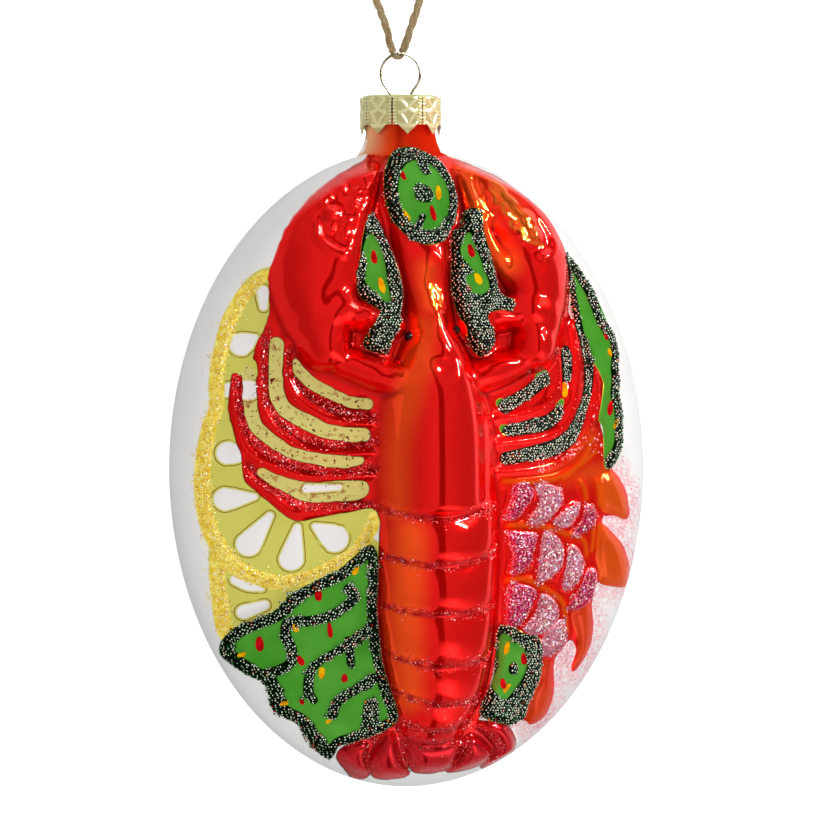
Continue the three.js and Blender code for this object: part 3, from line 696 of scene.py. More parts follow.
# shrimps beside the tail
shrimps = {
    "edge": [
        (36.3, -0.5), (39, -3.6), (40.1, -6.8), (39.8, -9.4), (36.5, -8.7), (34.6, -8.9), (34, -9.9),
        (36.5, -12), (38.8, -14.1), (40.8, -17.3), (41.4, -19.4), (41, -21.8), (34.9, -21.5),
        (33.2, -20.8), (32.5, -24.6), (33.1, -28.5), (32.9, -32.7), (31.5, -35.5), (29.8, -37.2),
        (29, -36.5), (29.7, -33.4), (28.1, -31.5), (25.5, -34.4), (25.2, -37.2), (25.7, -40),
        (25.6, -43.2), (24.2, -46), (21.6, -47), (20.4, -46.2), (14.6, -43.9), (13.3, -33.4),
        (13.1, -19.4), (12.8, -1.9), (20.4, -1.2), (26, 1.6), (32.5, 2.6)],
    "patches": [
        [(15.2, -3.1), (18.1, -2.8), (19.4, -4.7), (17.5, -7.5), (15.5, -9.4), (13.4, -8.9), (14.7, -6.1)],
        [(19.4, -3.1), (21.9, -2.8), (24.6, -3.8), (25.2, -5.4), (24.7, -7.1), (21.6, -9.9), (18.1, -9.9),
         (20.4, -6.2)],
        [(23.9, -8.9), (26.6, -7), (28.4, -6.6), (28.8, -7.5), (27.5, -9.9), (25.5, -11), (23.3, -10.1)],
        [(30, -7), (31.8, -7.1), (32.3, -8.9), (31.5, -10.6), (29.5, -12), (27.5, -11.9), (29.4, -9.2)],
        [(14.2, -11.5), (17, -11.7), (20.1, -12), (19.6, -14.8), (18.7, -17.6), (16.1, -19.4),
         (14.9, -19), (15.2, -15.9)],
        [(21.2, -11.7), (22.8, -11.5), (24.8, -13.1), (25.6, -15.2), (25.3, -18), (23, -20.1),
         (20.3, -20.6), (20.6, -16.6)],
        [(26.6, -14.5), (28.4, -14.5), (29.8, -16.6), (29.7, -19.4), (27.8, -21.8), (25.5, -22),
         (26.1, -17.6)],
        [(30.5, -19), (32.6, -18.7), (32.7, -21.1), (32, -23.6), (29.7, -25.7), (26.8, -25.7),
         (29.1, -22.2)],
        [(14.6, -21.1), (17.3, -21.1), (20.2, -22.2), (19.7, -24.3), (18.3, -27.4), (16.5, -28.8),
         (14.5, -28.1)],
        [(21.2, -22.9), (23.6, -23.6), (25, -25.7), (24.6, -28.1), (22.3, -30.2), (19.6, -30.4),
         (18, -29.2), (20.2, -26.4)],
        [(25.7, -27.4), (26.6, -29.2), (27.2, -31.3), (25.4, -33.7), (23, -34.4), (21.4, -33.7),
         (21.8, -31)]],
    "rosy": [0, 3, 4, 7, 8],
    "patchWider": 0.34, "feelerHalfWidth": 0.55, "feelerHeight": 2.1,
    "dustPatches": [
        [(27.6, -31.6), (29.4, -33), (28.9, -35.8), (27, -37.6), (25.3, -36.9), (25.8, -33.7)],
        [(33.9, -8.5), (36.9, -9.6), (39.3, -10.6), (39.1, -12), (36.9, -12.4), (34.3, -9.9)]],
    "tails": [
        [(33.5, -1.2), (36, -0.8), (38.1, -3.3), (39.5, -6.4), (39.2, -9.4), (36.1, -8.5), (33.6, -7.8),
         (32.9, -4.7)],
        [(33.2, -9.9), (35.7, -11.7), (38, -13.8), (39.8, -16.6), (40.8, -19.4), (40.4, -21.7),
         (34.5, -21.3), (33.1, -18.7), (32.5, -15.2), (32.6, -12)],
        [(28.5, -25.3), (30.9, -24.6), (32.2, -25.7), (32.7, -28.5), (32.5, -32.7), (31.1, -35.5),
         (29.2, -37.1), (30, -33.7), (29.3, -30.6), (27.8, -27.4)],
        [(22.4, -34.8), (24.6, -35.5), (24.6, -37.6), (25.3, -40), (25, -43.5), (23.8, -46),
         (21.2, -46.9), (20.1, -44.9), (20.2, -41.4), (21.9, -37.9)]],
    "feelers": [
        [(13.4, -2.4), (20.3, -2.4), (24.9, -1.5), (28.8, 0.6), (32.1, 3)],
        [(14.5, -10.3), (20.2, -10.5), (24.1, -11.3), (26, -12), (29.6, -13.1), (30.5, -15.9)],
        [(14.3, -20.4), (17.7, -20.1), (21.6, -21.7), (25.3, -23.9), (26.4, -26.4), (27, -29.9)],
        [(25.3, -2), (27.6, -0.3), (29.9, 2.4), (31.5, 5.5)],
        [(29, -2.6), (29.7, -3.6), (30.2, -5.6)],
        [(32.6, -2.4), (32.9, -5.1), (33.1, -6.8)],
        [(31.6, -9.6), (31.8, -12), (31.6, -15)]],
}

# lemon slices; the rinds and petals are strokes of x, y, half width
lemon = {
    "rinds": [
        [(-29.4, 35, 0.9), (-32.6, 31.9, 1.1), (-34.5, 28.8, 1.15), (-36, 25.7, 1.15),
         (-37.9, 18.4, 1.15), (-38.3, 12, 1.2), (-38.8, 9.5, 1.2)],
        [(-39.4, 8.6, 1.1), (-40.6, 1.1, 1.25), (-40.6, -5.6, 1.25), (-39, -12.2, 1.3),
         (-35.5, -17.4, 1.4), (-31.9, -19.5, 1.3), (-27.3, -20.5, 1.25), (-22.6, -19.6, 1.2),
         (-17.9, -17.5, 1.2), (-13.6, -14.4, 1.2), (-11.4, -10.2, 1.1), (-11.2, -8.4, 0.7)],
        [(-37.9, -13, 1), (-38, -18.5, 1.2), (-37.6, -22, 1.2), (-36.3, -28.5, 1.2), (-35.6, -30.5, 1)]],
    "slices": [
        [(-29.8, 36.1), (-33.5, 32.6), (-35.5, 29.4), (-37.1, 26.1), (-39, 18.5), (-39.3, 12), (-36, 3),
         (-26, -1), (-14, 4), (-9, 18), (-14, 32), (-22, 37.4)],
        [(-40.6, 7.9), (-41.7, 1.1), (-41.7, -5.7), (-40.1, -12.6), (-36.2, -18.5), (-32.2, -20.7),
         (-27.3, -21.7), (-22.4, -20.7), (-17.4, -18.5), (-12.8, -15.1), (-10.3, -10.4), (-10.8, -4),
         (-14.2, 4.5), (-21.8, 11.3), (-31.2, 13.5), (-37.5, 11.8)],
        [(-39, -13), (-39.2, -18.5), (-38.8, -22), (-37.4, -28.8), (-33, -36), (-25, -40), (-16, -38),
         (-8, -30), (-8, -16), (-20, -8), (-34, -8)]],
    "petals": [
        [(-29.9, 32.1, 1.1), (-29.9, 29.2, 0.7)],
        [(-34, 22.5, 2.1), (-31.5, 23.8, 0.5)],
        [(-36.6, 14.2, 1.3), (-33.1, 14.2, 1.8)],
        [(-36.5, 2.8, 2.1), (-34.2, 2.4, 0.9)],
        [(-36.9, -5.5, 2.1), (-32.2, -5.1, 0.6)],
        [(-33, -13.6, 2.2), (-29.5, -8.5, 0.7)],
        [(-25.6, -16.2, 2.2), (-24.7, -10.6, 0.7)],
        [(-18, -12.6, 2.5), (-21.6, -10.4, 0.6)],
        [(-34.8, -20, 1.1), (-32.8, -21.2, 0.9), (-30.3, -21.9, 0.3)],
        [(-33.3, -25.9, 1.3), (-30, -24.7, 0.9)],
        [(-23.1, -3.6, 0.8), (-17.2, -3.4, 0.5)]],
}

# herbs with beaded edges
herbs = {
    "discCentre": (-0.5, 49.6), "discAcross": 6.7, "discAlong": 9.1,
    "leftLeaf": [
        (-10.4, 46.2), (-11.7, 44.6), (-12.7, 41.5), (-13.2, 38.4), (-14, 34.9), (-13.6, 31.7),
        (-11.8, 29.8), (-10.1, 28.6), (-10.9, 27.2), (-12, 24.7), (-12.9, 22.4), (-11.9, 21.4),
        (-9, 20.8), (-7.7, 22.8), (-6.4, 26.7), (-5.5, 29.8), (-5.4, 32.9), (-6.2, 36.8), (-7.2, 40),
        (-8.4, 43.1), (-9.4, 45.4)],
    "leftGreen": [
        (-11.2, 42.5), (-10, 41.7), (-9.1, 39.2), (-8.6, 36), (-8.3, 32.9), (-7.9, 30.6), (-8.5, 29.8),
        (-10.9, 31.9), (-12.5, 34.1), (-12, 36.8), (-12.5, 39.6)],
    "rightLeaf": [
        (8.6, 47.4), (7.3, 46.2), (7, 43.9), (5, 42.7), (4.2, 38.4), (3.9, 35.3), (4.1, 31.7),
        (4.8, 28.6), (6, 25.5), (6.9, 22.8), (8.1, 20.8), (9.8, 20.4), (11.6, 22.4), (11.8, 24.7),
        (10.2, 26.5), (10.3, 28.2), (13, 28.8), (14.7, 28.6), (15.4, 30.4), (13.2, 32.1), (12.6, 35.3),
        (11.5, 38.4), (10.8, 40.7), (10.2, 43.1), (10.2, 46.6)],
    "rightGreen": [
        (7.7, 42.9), (8.7, 40), (9.7, 36.8), (10.7, 33.1), (9.4, 31.7), (7.3, 31.8), (6, 34.3), (7.6, 36),
        (5.7, 38.8), (6.3, 41.5)],
    "outerLeaf": [
        (28, 39.3), (30.7, 36.6), (34, 31.5), (36.4, 26.2), (37.9, 21.2), (37.9, 15.2), (38.3, 8.8),
        (38.2, 3.8), (36.4, 0.4), (34.2, 0), (34, 3.3), (33.9, 7.3), (33, 9), (33.9, 13.4), (34.1, 16.1),
        (31.5, 20.1), (30, 24), (28.7, 27.4), (27.8, 32.6)],
    "outerRows": [
        [(27.8, 38.4, 0.7), (29.9, 35.9, 0.9), (32.1, 32.2, 1), (34.1, 27.1, 1), (36.6, 24, 1),
         (37.2, 21.8, 1), (36.8, 18.7, 1), (36.8, 15.6, 1), (36.5, 13.4, 1), (37.1, 10.2, 1),
         (37.3, 7.1, 1), (37, 4.4, 1), (35.4, 1.1, 1.1)],
        [(27.8, 38.4, 0.6), (28.3, 33.5, 0.6), (29.1, 28, 0.6), (29.9, 24, 0.6)]],
    "smallHerb": [
        (13.3, -28.8), (15.7, -28.8), (18.5, -30.2), (21.2, -30.9), (22.1, -34.4), (22.2, -37.9),
        (20.9, -41.1), (19.9, -43.9), (19.9, -45.6), (17.3, -46.8), (14.5, -46.5), (11.7, -45.6),
        (10.7, -44.1), (11.6, -41.4), (12.7, -37.9), (12.9, -33.4), (13, -30.2)],
    "smallGreen": [
        (13.5, -30.2), (16.2, -31.3), (18.5, -33), (19, -35.8), (18.1, -38.5), (16.6, -40.7),
        (14.8, -42.2), (12.6, -40), (13.3, -36.2)],
    "bigHerb": [
        (-12, -13.8), (-14.9, -16.1), (-17.4, -18.3), (-21.5, -20.3), (-25.2, -22.5), (-28.6, -25.9),
        (-31.9, -27.3), (-34.5, -28.7), (-36.2, -30.7), (-36.4, -32.9), (-35.2, -34.9), (-31.4, -37.7),
        (-29.4, -38.5), (-28.1, -40.7), (-27.3, -43.3), (-25, -45.2), (-22.5, -46.6), (-19.2, -50.8),
        (-15.9, -52.9), (-15.1, -50.6), (-12.5, -49.7), (-9.1, -48.3), (-5.4, -46.4), (-5.5, -43.8),
        (-6.8, -40.6), (-8.5, -35.8), (-9.3, -32), (-10.2, -25.2), (-10.3, -19.6), (-10.6, -15)],
    "curls": [
        [(-15.8, -21.6, 0.8), (-14.7, -23.1, 0.9), (-15.9, -24.8, 0.9), (-18.6, -26.5, 0.9),
         (-21.8, -27.4, 0.9), (-25.1, -27.6, 0.9), (-26.4, -28.1, 0.9), (-26.3, -30.4, 0.9),
         (-25.2, -32.6, 0.9), (-25.2, -34.9, 0.9), (-26.9, -36.3, 0.9), (-29.8, -37.4, 0.9)],
        [(-11.8, -29.3, 1), (-13.9, -30.7, 1), (-15.5, -32.1, 0.8), (-17.2, -32.9, 0.7),
         (-19.8, -34.6, 0.7), (-21.3, -36, 0.8), (-22, -38.2, 0.9), (-21.8, -40.5, 0.9),
         (-20.6, -42, 0.7)],
        [(-10.7, -38.2, 1.1), (-12.8, -39.6, 0.9), (-14.9, -41, 0.9), (-16.5, -42.4, 0.9),
         (-17.1, -44.7, 0.9)],
        [(-15.6, -30.9, 0.6), (-14.9, -33.7, 0.8), (-14.4, -35.7, 0.6)],
        [(-10.5, -43, 1.4), (-10.2, -46.5, 1.6)]],
    "discSpurs": [
        [(0.2, 56.6, 1), (0.6, 54.2, 0.8)],
        [(-3.4, 42, 0.7), (-1.2, 45.8, 0.6)],
        [(-0.6, 49.9, 1.7), (-0.5, 49.9, 1.7)]],
    "smallSpur": [(16.1, -36.4, 1), (16.2, -36.6, 1)],
    "gapEnds": [
        [(12.9, 11.9, 0.8), (13.6, 11.7, 1)],
        [(13.4, 7.3, 0.7), (14.2, 6.9, 1)],
        [(20.9, 16.6, 0.9), (21.9, 16.9, 1)],
        [(24.8, 11.2, 0.8), (25.3, 12.2, 0.5)]],
    "rowWidth": 1.9, "gapWider": 0.2, "heights": (3.6, 3.2, 1.5, 1.9, 1.8),
}
print("shapes listed")


def lemonFields():
    return outlines(lemon["slices"]), strokes(lemon["rinds"]), strokes(lemon["petals"])


def ovalField(centre, across, along):
    x, y = (gridX - centre[0]) / across, (gridY - centre[1]) / along
    return (1 - np.hypot(x, y)) * min(across, along)


def herbFields():
    disc = ovalField(herbs["discCentre"], herbs["discAcross"], herbs["discAlong"])
    discRow = np.maximum(np.minimum(disc, herbs["rowWidth"] - disc), strokes(herbs["discSpurs"]))
    inner = outlines([herbs["leftLeaf"], herbs["rightLeaf"]])
    innerRow = np.minimum(inner, -outlines([herbs["leftGreen"], herbs["rightGreen"]]))
    outer = outlines([herbs["outerLeaf"]])
    outerRow = strokes(herbs["outerRows"])
    small = outlines([herbs["smallHerb"]])
    smallRow = np.maximum(np.minimum(small, -outlines([herbs["smallGreen"]])), strokes([herbs["smallSpur"]]))
    big = outlines([herbs["bigHerb"]])
    bigRow = np.maximum(np.minimum(big, herbs["rowWidth"] - big), np.minimum(strokes(herbs["curls"]), big))
    gapRow = strokes(legs["rightGaps"])
    leaf = np.maximum.reduce([disc, inner, outer, small, big, strokes(herbs["gapEnds"])])
    row = np.maximum.reduce([discRow, innerRow, outerRow, smallRow, bigRow, gapRow + herbs["gapWider"]])
    pads = zip((disc, inner, outer, small, big), herbs["heights"])
    return leaf, row, list(pads)


def tailLine(i):
    left, middle, right = tail["lines"][i]
    across = (gridX - tail["centres"][i]) / tail["halfWidths"][i]
    return middle + (right - left) / 2 * across + ((left + right) / 2 - middle) * across ** 2


# the tail's plates: each swells towards its rear and drops sharply to the next line
def tailRelief():
    relief = flat
    lines = [tailLine(i) for i in range(len(tail["lines"]))]
    for i in range(len(lines) - 1):
        length = np.maximum(lines[i] - lines[i + 1], 0.5)
        s = (lines[i] - gridY) / length
        within = (s >= (tail["tuck"] if i == 0 else 0)) & (s <= 1)
        blend = np.clip(s, 0, 1)
        centre, halfWidth, height = (
            tail[key][i] * (1 - blend) + tail[key][i + 1] * blend
            for key in ("centres", "halfWidths", "heights"))
        across = np.clip(1 - ((gridX - centre) / halfWidth) ** 2, 0, None) ** 0.5
        climb = np.sin(np.clip(blend / tail["peak"], 0, 1) * math.pi / 2) ** tail["climb"]
        fall = np.sqrt(1 - np.clip((blend - tail["peak"]) / (1 - tail["peak"]), 0, 1) ** 2)
        swell = tail["swell"] * length * np.where(blend < tail["peak"], climb, fall)
        keel = tail["keel"] * np.exp(-((gridX - centre) / tail["keelWidth"]) ** 2)
        relief = np.where(within, across * (height + swell + keel), relief)
    return relief


def fanRelief():
    relief = flat
    for lobe in fan["lobes"]:
        edge = np.clip(1 - outlines([lobe]) / fan["shoulder"], 0, 1)
        relief = np.maximum(relief, fan["height"] * np.sqrt(1 - edge ** 2))
    return relief


leafField, rowField, herbPads = herbFields()
discField = herbPads[0][0]
sliceField, rindField, petalField = lemonFields()
gapField = strokes(legs["leftGaps"] + legs["rightGaps"])
# unevenness: height, size of a lump and seed
uneven = {
    "edges": (0.12, 1.6, 21), "leaves": (0.3, 3.5, 22), "claws": (0.16, 4.5, 24), "head": (0.34, 3.6, 27),
}


def unevenness(name):
    height, size, seed = uneven[name]
    return height * lumps(size, seed)


edgeRipple = unevenness("edges")
lobeRoots = widened([line[:-1] for line in fan["lines"]], fan["rootHalfWidth"])
lobeField = np.maximum(outlines(fan["lobes"]) + fan["wider"], strokes(lobeRoots))
shrimpEdgeField = outlines([shrimps["edge"]])
redField = np.maximum.reduce([outlines([lacquerEdge]), shrimpEdgeField, lobeField])
redField = np.minimum(redField, -gapField) + edgeRipple / 2
tailField = outlines(shrimps["tails"])
patchField = outlines(shrimps["patches"]) + shrimps["patchWider"]
dustField = outlines(shrimps["dustPatches"])
rosyField = outlines([shrimps["patches"][i] for i in shrimps["rosy"]])


def redGlitterField():
    bands = widened(legs["glitter"], legs["glitterHalfWidth"])
    bands += widened(fan["lines"], fan["glitterHalfWidth"])
    thinly = strokes(widened(legs["rightRidges"], legs["thinHalfWidth"])) - legs["thinly"]
    field = np.maximum(strokes(bands), thinly)
    for i in range(len(tail["lines"])):
        across = np.abs(gridX - tail["centres"][i]) / tail["halfWidths"][i]
        near = tail["glitterHalfWidth"] - np.abs(gridY - tailLine(i))
        field = np.maximum(field, np.where(across < tail["glitterReach"], near, -farAway))
    return field


redGlitterDepth = redGlitterField()
print("paint fields drawn")


def clawRelief():
    heights = flat
    for name in ("leftPalm", "palm", "thumb"):
        heights = merged(heights, raiseStrokes(flat, [claws[name]], passes=8), claws["palmBlend"])
    for name in ("wrist", "elbow", "arm"):
        pair = [claws[name], mirrored(claws[name])]
        heights = merged(heights, raiseStrokes(flat, pair, passes=6), claws["limbBlend"])
    pads = outlines([claws["leftPad"], claws["rightPad"]])
    heights = heights - claws["padDepth"] * ease(pads, *claws["padEdge"])
    for x, y, radius, height in claws["knobs"]:
        share = np.hypot(gridX - x, gridY - y) / radius
        heights = heights + height * np.clip(1 - share ** 2, 0, None) ** 1.5
    zigzags = strokes(widened(claws["zigzags"], claws["zigzagHalfWidth"]))
    heights = heights + claws["zigzagHeight"] * np.clip(zigzags, 0, None)
    edges = strokes(widened(claws["edges"], claws["edgeHalfWidth"]))
    heights = heights + claws["edgeHeight"] * np.clip(edges, 0, None)
    lips = strokes(widened(claws["lips"], claws["lipHalfWidth"]))
    return heights + claws["lipHeight"] * ease(lips, *claws["lipEdge"])


# how high each painted thing stands, and the depths that its edge rises between
raised = {
    "lacquer": (0.7, -0.2, 0.9), "slice": (0.5, -0.2, 0.8), "rind": (1.0, -0.2, 0.9),
    "petal": (0.25, -0.1, 0.8), "patch": (2.1, -0.3, 1.3), "shrimpTail": (1.7, -0.3, 1.8),
    "row": (0.45, -0.1, 0.7), "bulge": 0.6, "headBlend": 0.8, "clawBlend": 0.8, "crests": (2, 4),
    "leaf": (0.5, 2), "padEdge": (-0.3, 0.9), "padSpare": 0.6, "fadeFrom": 0.945, "fadeLater": 0.027,
    "fadeTo": 0.985, "rimPieces": (-0.3, 0.3),
}


def rise(name, field, rounding=1):
    height, low, high = raised[name]
    return height * ease(field, low, high) ** rounding


def glassRelief():
    heights = raiseStrokes(flat, [body["crest"], body["flank"]], passes=6)
    heights = merged(heights, raiseStrokes(flat, [body["rostrum"]], passes=8), raised["headBlend"])
    heights = heights * ease(gridY - tailLine(0), *body["rearEdge"])
    heights = merged(heights, clawRelief(), raised["clawBlend"])
    onClaws = ease(gridY, *claws["unevenFrom"])
    heights = heights + unevenness("claws") * onClaws * ease(heights, *raised["crests"])
    onHead = ease(body["knobblyAcross"] - np.abs(gridX), 0, body["knobblySoft"])
    onHead = onHead * ease(gridY, *body["knobblyFrom"])
    heights = heights + unevenness("head") * onHead * ease(heights, *raised["crests"])
    heights = np.maximum(heights, soften(tailRelief(), 1))
    heights = np.maximum(heights, soften(fanRelief(), 1))
    heights = np.maximum(heights, rise("lacquer", soften(redField, 1)))
    ridges = widened(legs["leftRidges"] + legs["rightRidges"], legs["halfWidth"])
    heights = raiseStrokes(heights, ridges, legs["height"], profile=legs["profile"], passes=1)
    heights = np.maximum(heights, rise("slice", sliceField))
    heights = np.maximum(heights, rise("rind", rindField) * (redField < 0))
    heights += rise("petal", petalField) * (redField < 0)
    # shrimps have rounder shoulders
    heights = np.maximum(heights, rise("patch", patchField, raised["bulge"]))
    heights = np.maximum(heights, rise("shrimpTail", tailField, raised["bulge"]))
    feelers = widened(shrimps["feelers"], shrimps["feelerHalfWidth"])
    heights = raiseStrokes(heights, feelers, shrimps["feelerHeight"], passes=1)
    for field, height in herbPads:
        pad = height * ease(field, *raised["padEdge"])
        levelled = np.maximum(np.minimum(heights, height + raised["padSpare"]), pad)
        heights = np.where(field > raised["padEdge"][0], levelled, heights)
    heights += rise("row", rowField)
    heights += unevenness("leaves") * ease(leafField, *raised["leaf"])
    share = rimShare(gridX, gridY)
    nearRim = ease(np.maximum(discField, lobeField), *raised["rimPieces"])
    fadeFrom = raised["fadeFrom"] + raised["fadeLater"] * nearRim
    return soften(heights, 2) * (1 - ease(share, fadeFrom, raised["fadeTo"]))


neck = {
    "sides": 64,
    "profile": [(4.5, 46), (8, 51), (8.6, 54.4), (8.1, 57), (7, 59), (6.5, 60.7), (6.35, 62.2), (6.35, 65.4)],
    "jointAlong": (54.5, 60.5), "jointFromAxis": (5.4, 12), "jointPasses": 6,
}


def neckHeight(x, y):
    radii, starts = np.array(neck["profile"]).T
    radius = np.interp(y, starts, radii, left=0, right=0)
    return axisHeight + np.sqrt(np.clip(radius ** 2 - x ** 2, 0, None))


relief = glassRelief()
surface = np.maximum(lensHeight(gridX, gridY) + relief, neckHeight(gridX, gridY))
print("relief raised")

# the glass shell: a fine sheet over the front, its edge drawn round and down to the rest spot
shell = {"cellsAcross": 248, "cellsAlong": 322, "frontShare": 0.985, "rimSteps": 3, "backSteps": 8}


def shapeFront():
    glass, u, v = gridSheet(shell["cellsAcross"], shell["cellsAlong"])
    x = platter["halfWidth"] * shell["frontShare"] * u * np.sqrt(1 - v ** 2 / 2)
    y = platter["halfLength"] * shell["frontShare"] * v * np.sqrt(1 - u ** 2 / 2)
    movePlaces(glass, x, y, lensHeight(x, y) + bilinear(relief, x, y))
    return glass


def drawRing(scale, drop):
    bpy.ops.mesh.extrude_edges_move()
    bpy.ops.transform.resize(value=(scale, scale, 1), center_override=(0, 0, 0))
    bpy.ops.transform.translate(value=(0, 0, drop * mm))


def shapeBack(glass):
    alone(glass)
    bpy.ops.object.mode_set(mode="EDIT")
    bpy.ops.mesh.select_mode(type="EDGE")
    bpy.ops.mesh.select_all(action="DESELECT")
    bpy.ops.mesh.select_non_manifold()
    reach = shell["frontShare"]
    height = platter["frontDepth"] * math.sqrt(1 - reach ** 2)
    frontAngle = math.asin(height / platter["frontDepth"])
    restAngle = -math.asin(rimHeight / platter["backDepth"])
    rim = np.linspace(frontAngle, -frontAngle, 2 * shell["rimSteps"] + 1)[1:]
    back = np.linspace(-frontAngle, restAngle, shell["backSteps"] + 1)[1:]
    for angle in np.concatenate([rim, back]):
        depth = platter["frontDepth"] if angle > 0 else platter["backDepth"]
        drawRing(math.cos(angle) / reach, depth * math.sin(angle) - height)
        reach, height = math.cos(angle), depth * math.sin(angle)
    bpy.ops.mesh.edge_face_add()
    bpy.ops.mesh.select_mode(type="VERT")
    stopEditing()


def shapeNeck():
    radius, start = neck["profile"][0]
    bpy.ops.mesh.primitive_circle_add(
        vertices=neck["sides"], radius=radius * mm, fill_type="NGON",
        location=(0, start * mm, axisHeight * mm), rotation=(math.radians(-90), 0, 0))
    tubePiece = bpy.context.object
    bpy.ops.object.transform_apply()
    startEditing(tubePiece)
    line = smoothLine([(r, y, 0) for r, y in neck["profile"]], perSpan=5)
    for before, after in zip(line, line[1:]):
        scale = after[0] / before[0]
        bpy.ops.mesh.extrude_region_move()
        bpy.ops.transform.resize(value=(scale, 1, scale), center_override=(0, 0, axisHeight * mm))
        bpy.ops.transform.translate(value=(0, (after[1] - before[1]) * mm, 0))
    stopEditing()
    return tubePiece


def blowShell():
    glass = shapeFront()
    shapeBack(glass)
    combined(glass, shapeNeck(), "UNION", "MANIFOLD")
    glass = joined("glassShell", [glass])
    softenNeckJoint(glass)
    bpy.ops.object.shade_smooth()
    return glass


def between(values, limits):
    return (values > limits[0]) & (values < limits[1])


def softenNeckJoint(glass):
    x, y, z = vertexPlaces(glass).T
    fromAxis = np.hypot(x, z - axisHeight)
    near = between(y, neck["jointAlong"]) & between(fromAxis, neck["jointFromAxis"])
    glass.data.vertices.foreach_set("select", near)
    bpy.ops.object.mode_set(mode="EDIT")
    bpy.ops.mesh.vertices_smooth(factor=0.5, repeat=neck["jointPasses"])
    bpy.ops.object.mode_set(mode="OBJECT")


glass = blowShell()
print("glass shell blown:", len(glass.data.polygons), "faces")


def paintAttribute(piece, name, values):
    attribute = piece.data.attributes.new(name, "FLOAT", "POINT")
    attribute.data.foreach_set("value", values.astype(np.float32))


# painted tones, with the painted shade in grooves among them
paintedTonesAndShade = {
    "orange": [
        # the first two run down the left halves of the carapace and tail: partly the lacquer's own orange,
        # partly a painted reflection of the bright left side
        [(-2.4, 26, 0.6), (-4.2, 19, 1), (-6, 13, 1), (-7.6, 4, 0.6), (-7.6, -8, 0.6)],
        [(-6, -12, 1.8), (-6, -30, 1.8), (-4, -42, 1)],
        [(-1, 30, 0.6), (-1.5, 36, 0.6)],
        [(8.6, 53, 1.4), (10.4, 44, 1.6), (14, 37.5, 1.8)],
        [(14, 50, 1), (19, 44, 0.6)],
        [(28, 2, 0.6), (31, 5, 0.6)],
        [(22, -1.6, 0.4), (30, -1, 0.6), (34, -1, 1)]],
    "wine": [[(-12, -52.5, 3), (-4, -53, 3), (2, -53, 3), (10, -52.4, 3), (16, -50, 3)]],
    "orangeEdge": (-3, 1.5), "wineEdge": (-3, 1), "feelerHalfWidth": 0.4, "feelerEdge": (-0.1, 0.3),
    "calmHalfWidth": 0.7, "calmEdge": (-1.2, 0.2), "zigzagHalfWidth": 0.3, "zigzagEdge": (-0.1, 0.3),
    # the painted shade in grooves: how widely the relief is softened to find them, and how deep one is fully
    # shaded
    "goldBand": 0.55, "goldBandEdge": (-0.3, 0.4), "paintedShadePasses": 24, "paintedShadeDepth": 1.2, "dustWider": 2,
}
# what counts as the front and the neck, how the neck's tones turn round it in degrees, and where the painted
# reflection, a dark stripe, runs down the neck
painted = {
    "frontFrom": 0.6, "neckFrom": 56.5, "neckReach": 9.6, "neckUnder": 4.5, "featherAlong": (34, 46),
    "featherAcross": 7.5, "sharpUntil": (27, 36), "sharpOffTails": (-1, -0.3), "paleTurn": (28, 84),
    "orangeTurn": (-4, 22), "orangeLeast": 0.2, "paintedReflectionTurn": -17, "paintedReflectionWidth": 8, "paintedReflectionSoft": 4, "paintedReflection": 0.6,
}


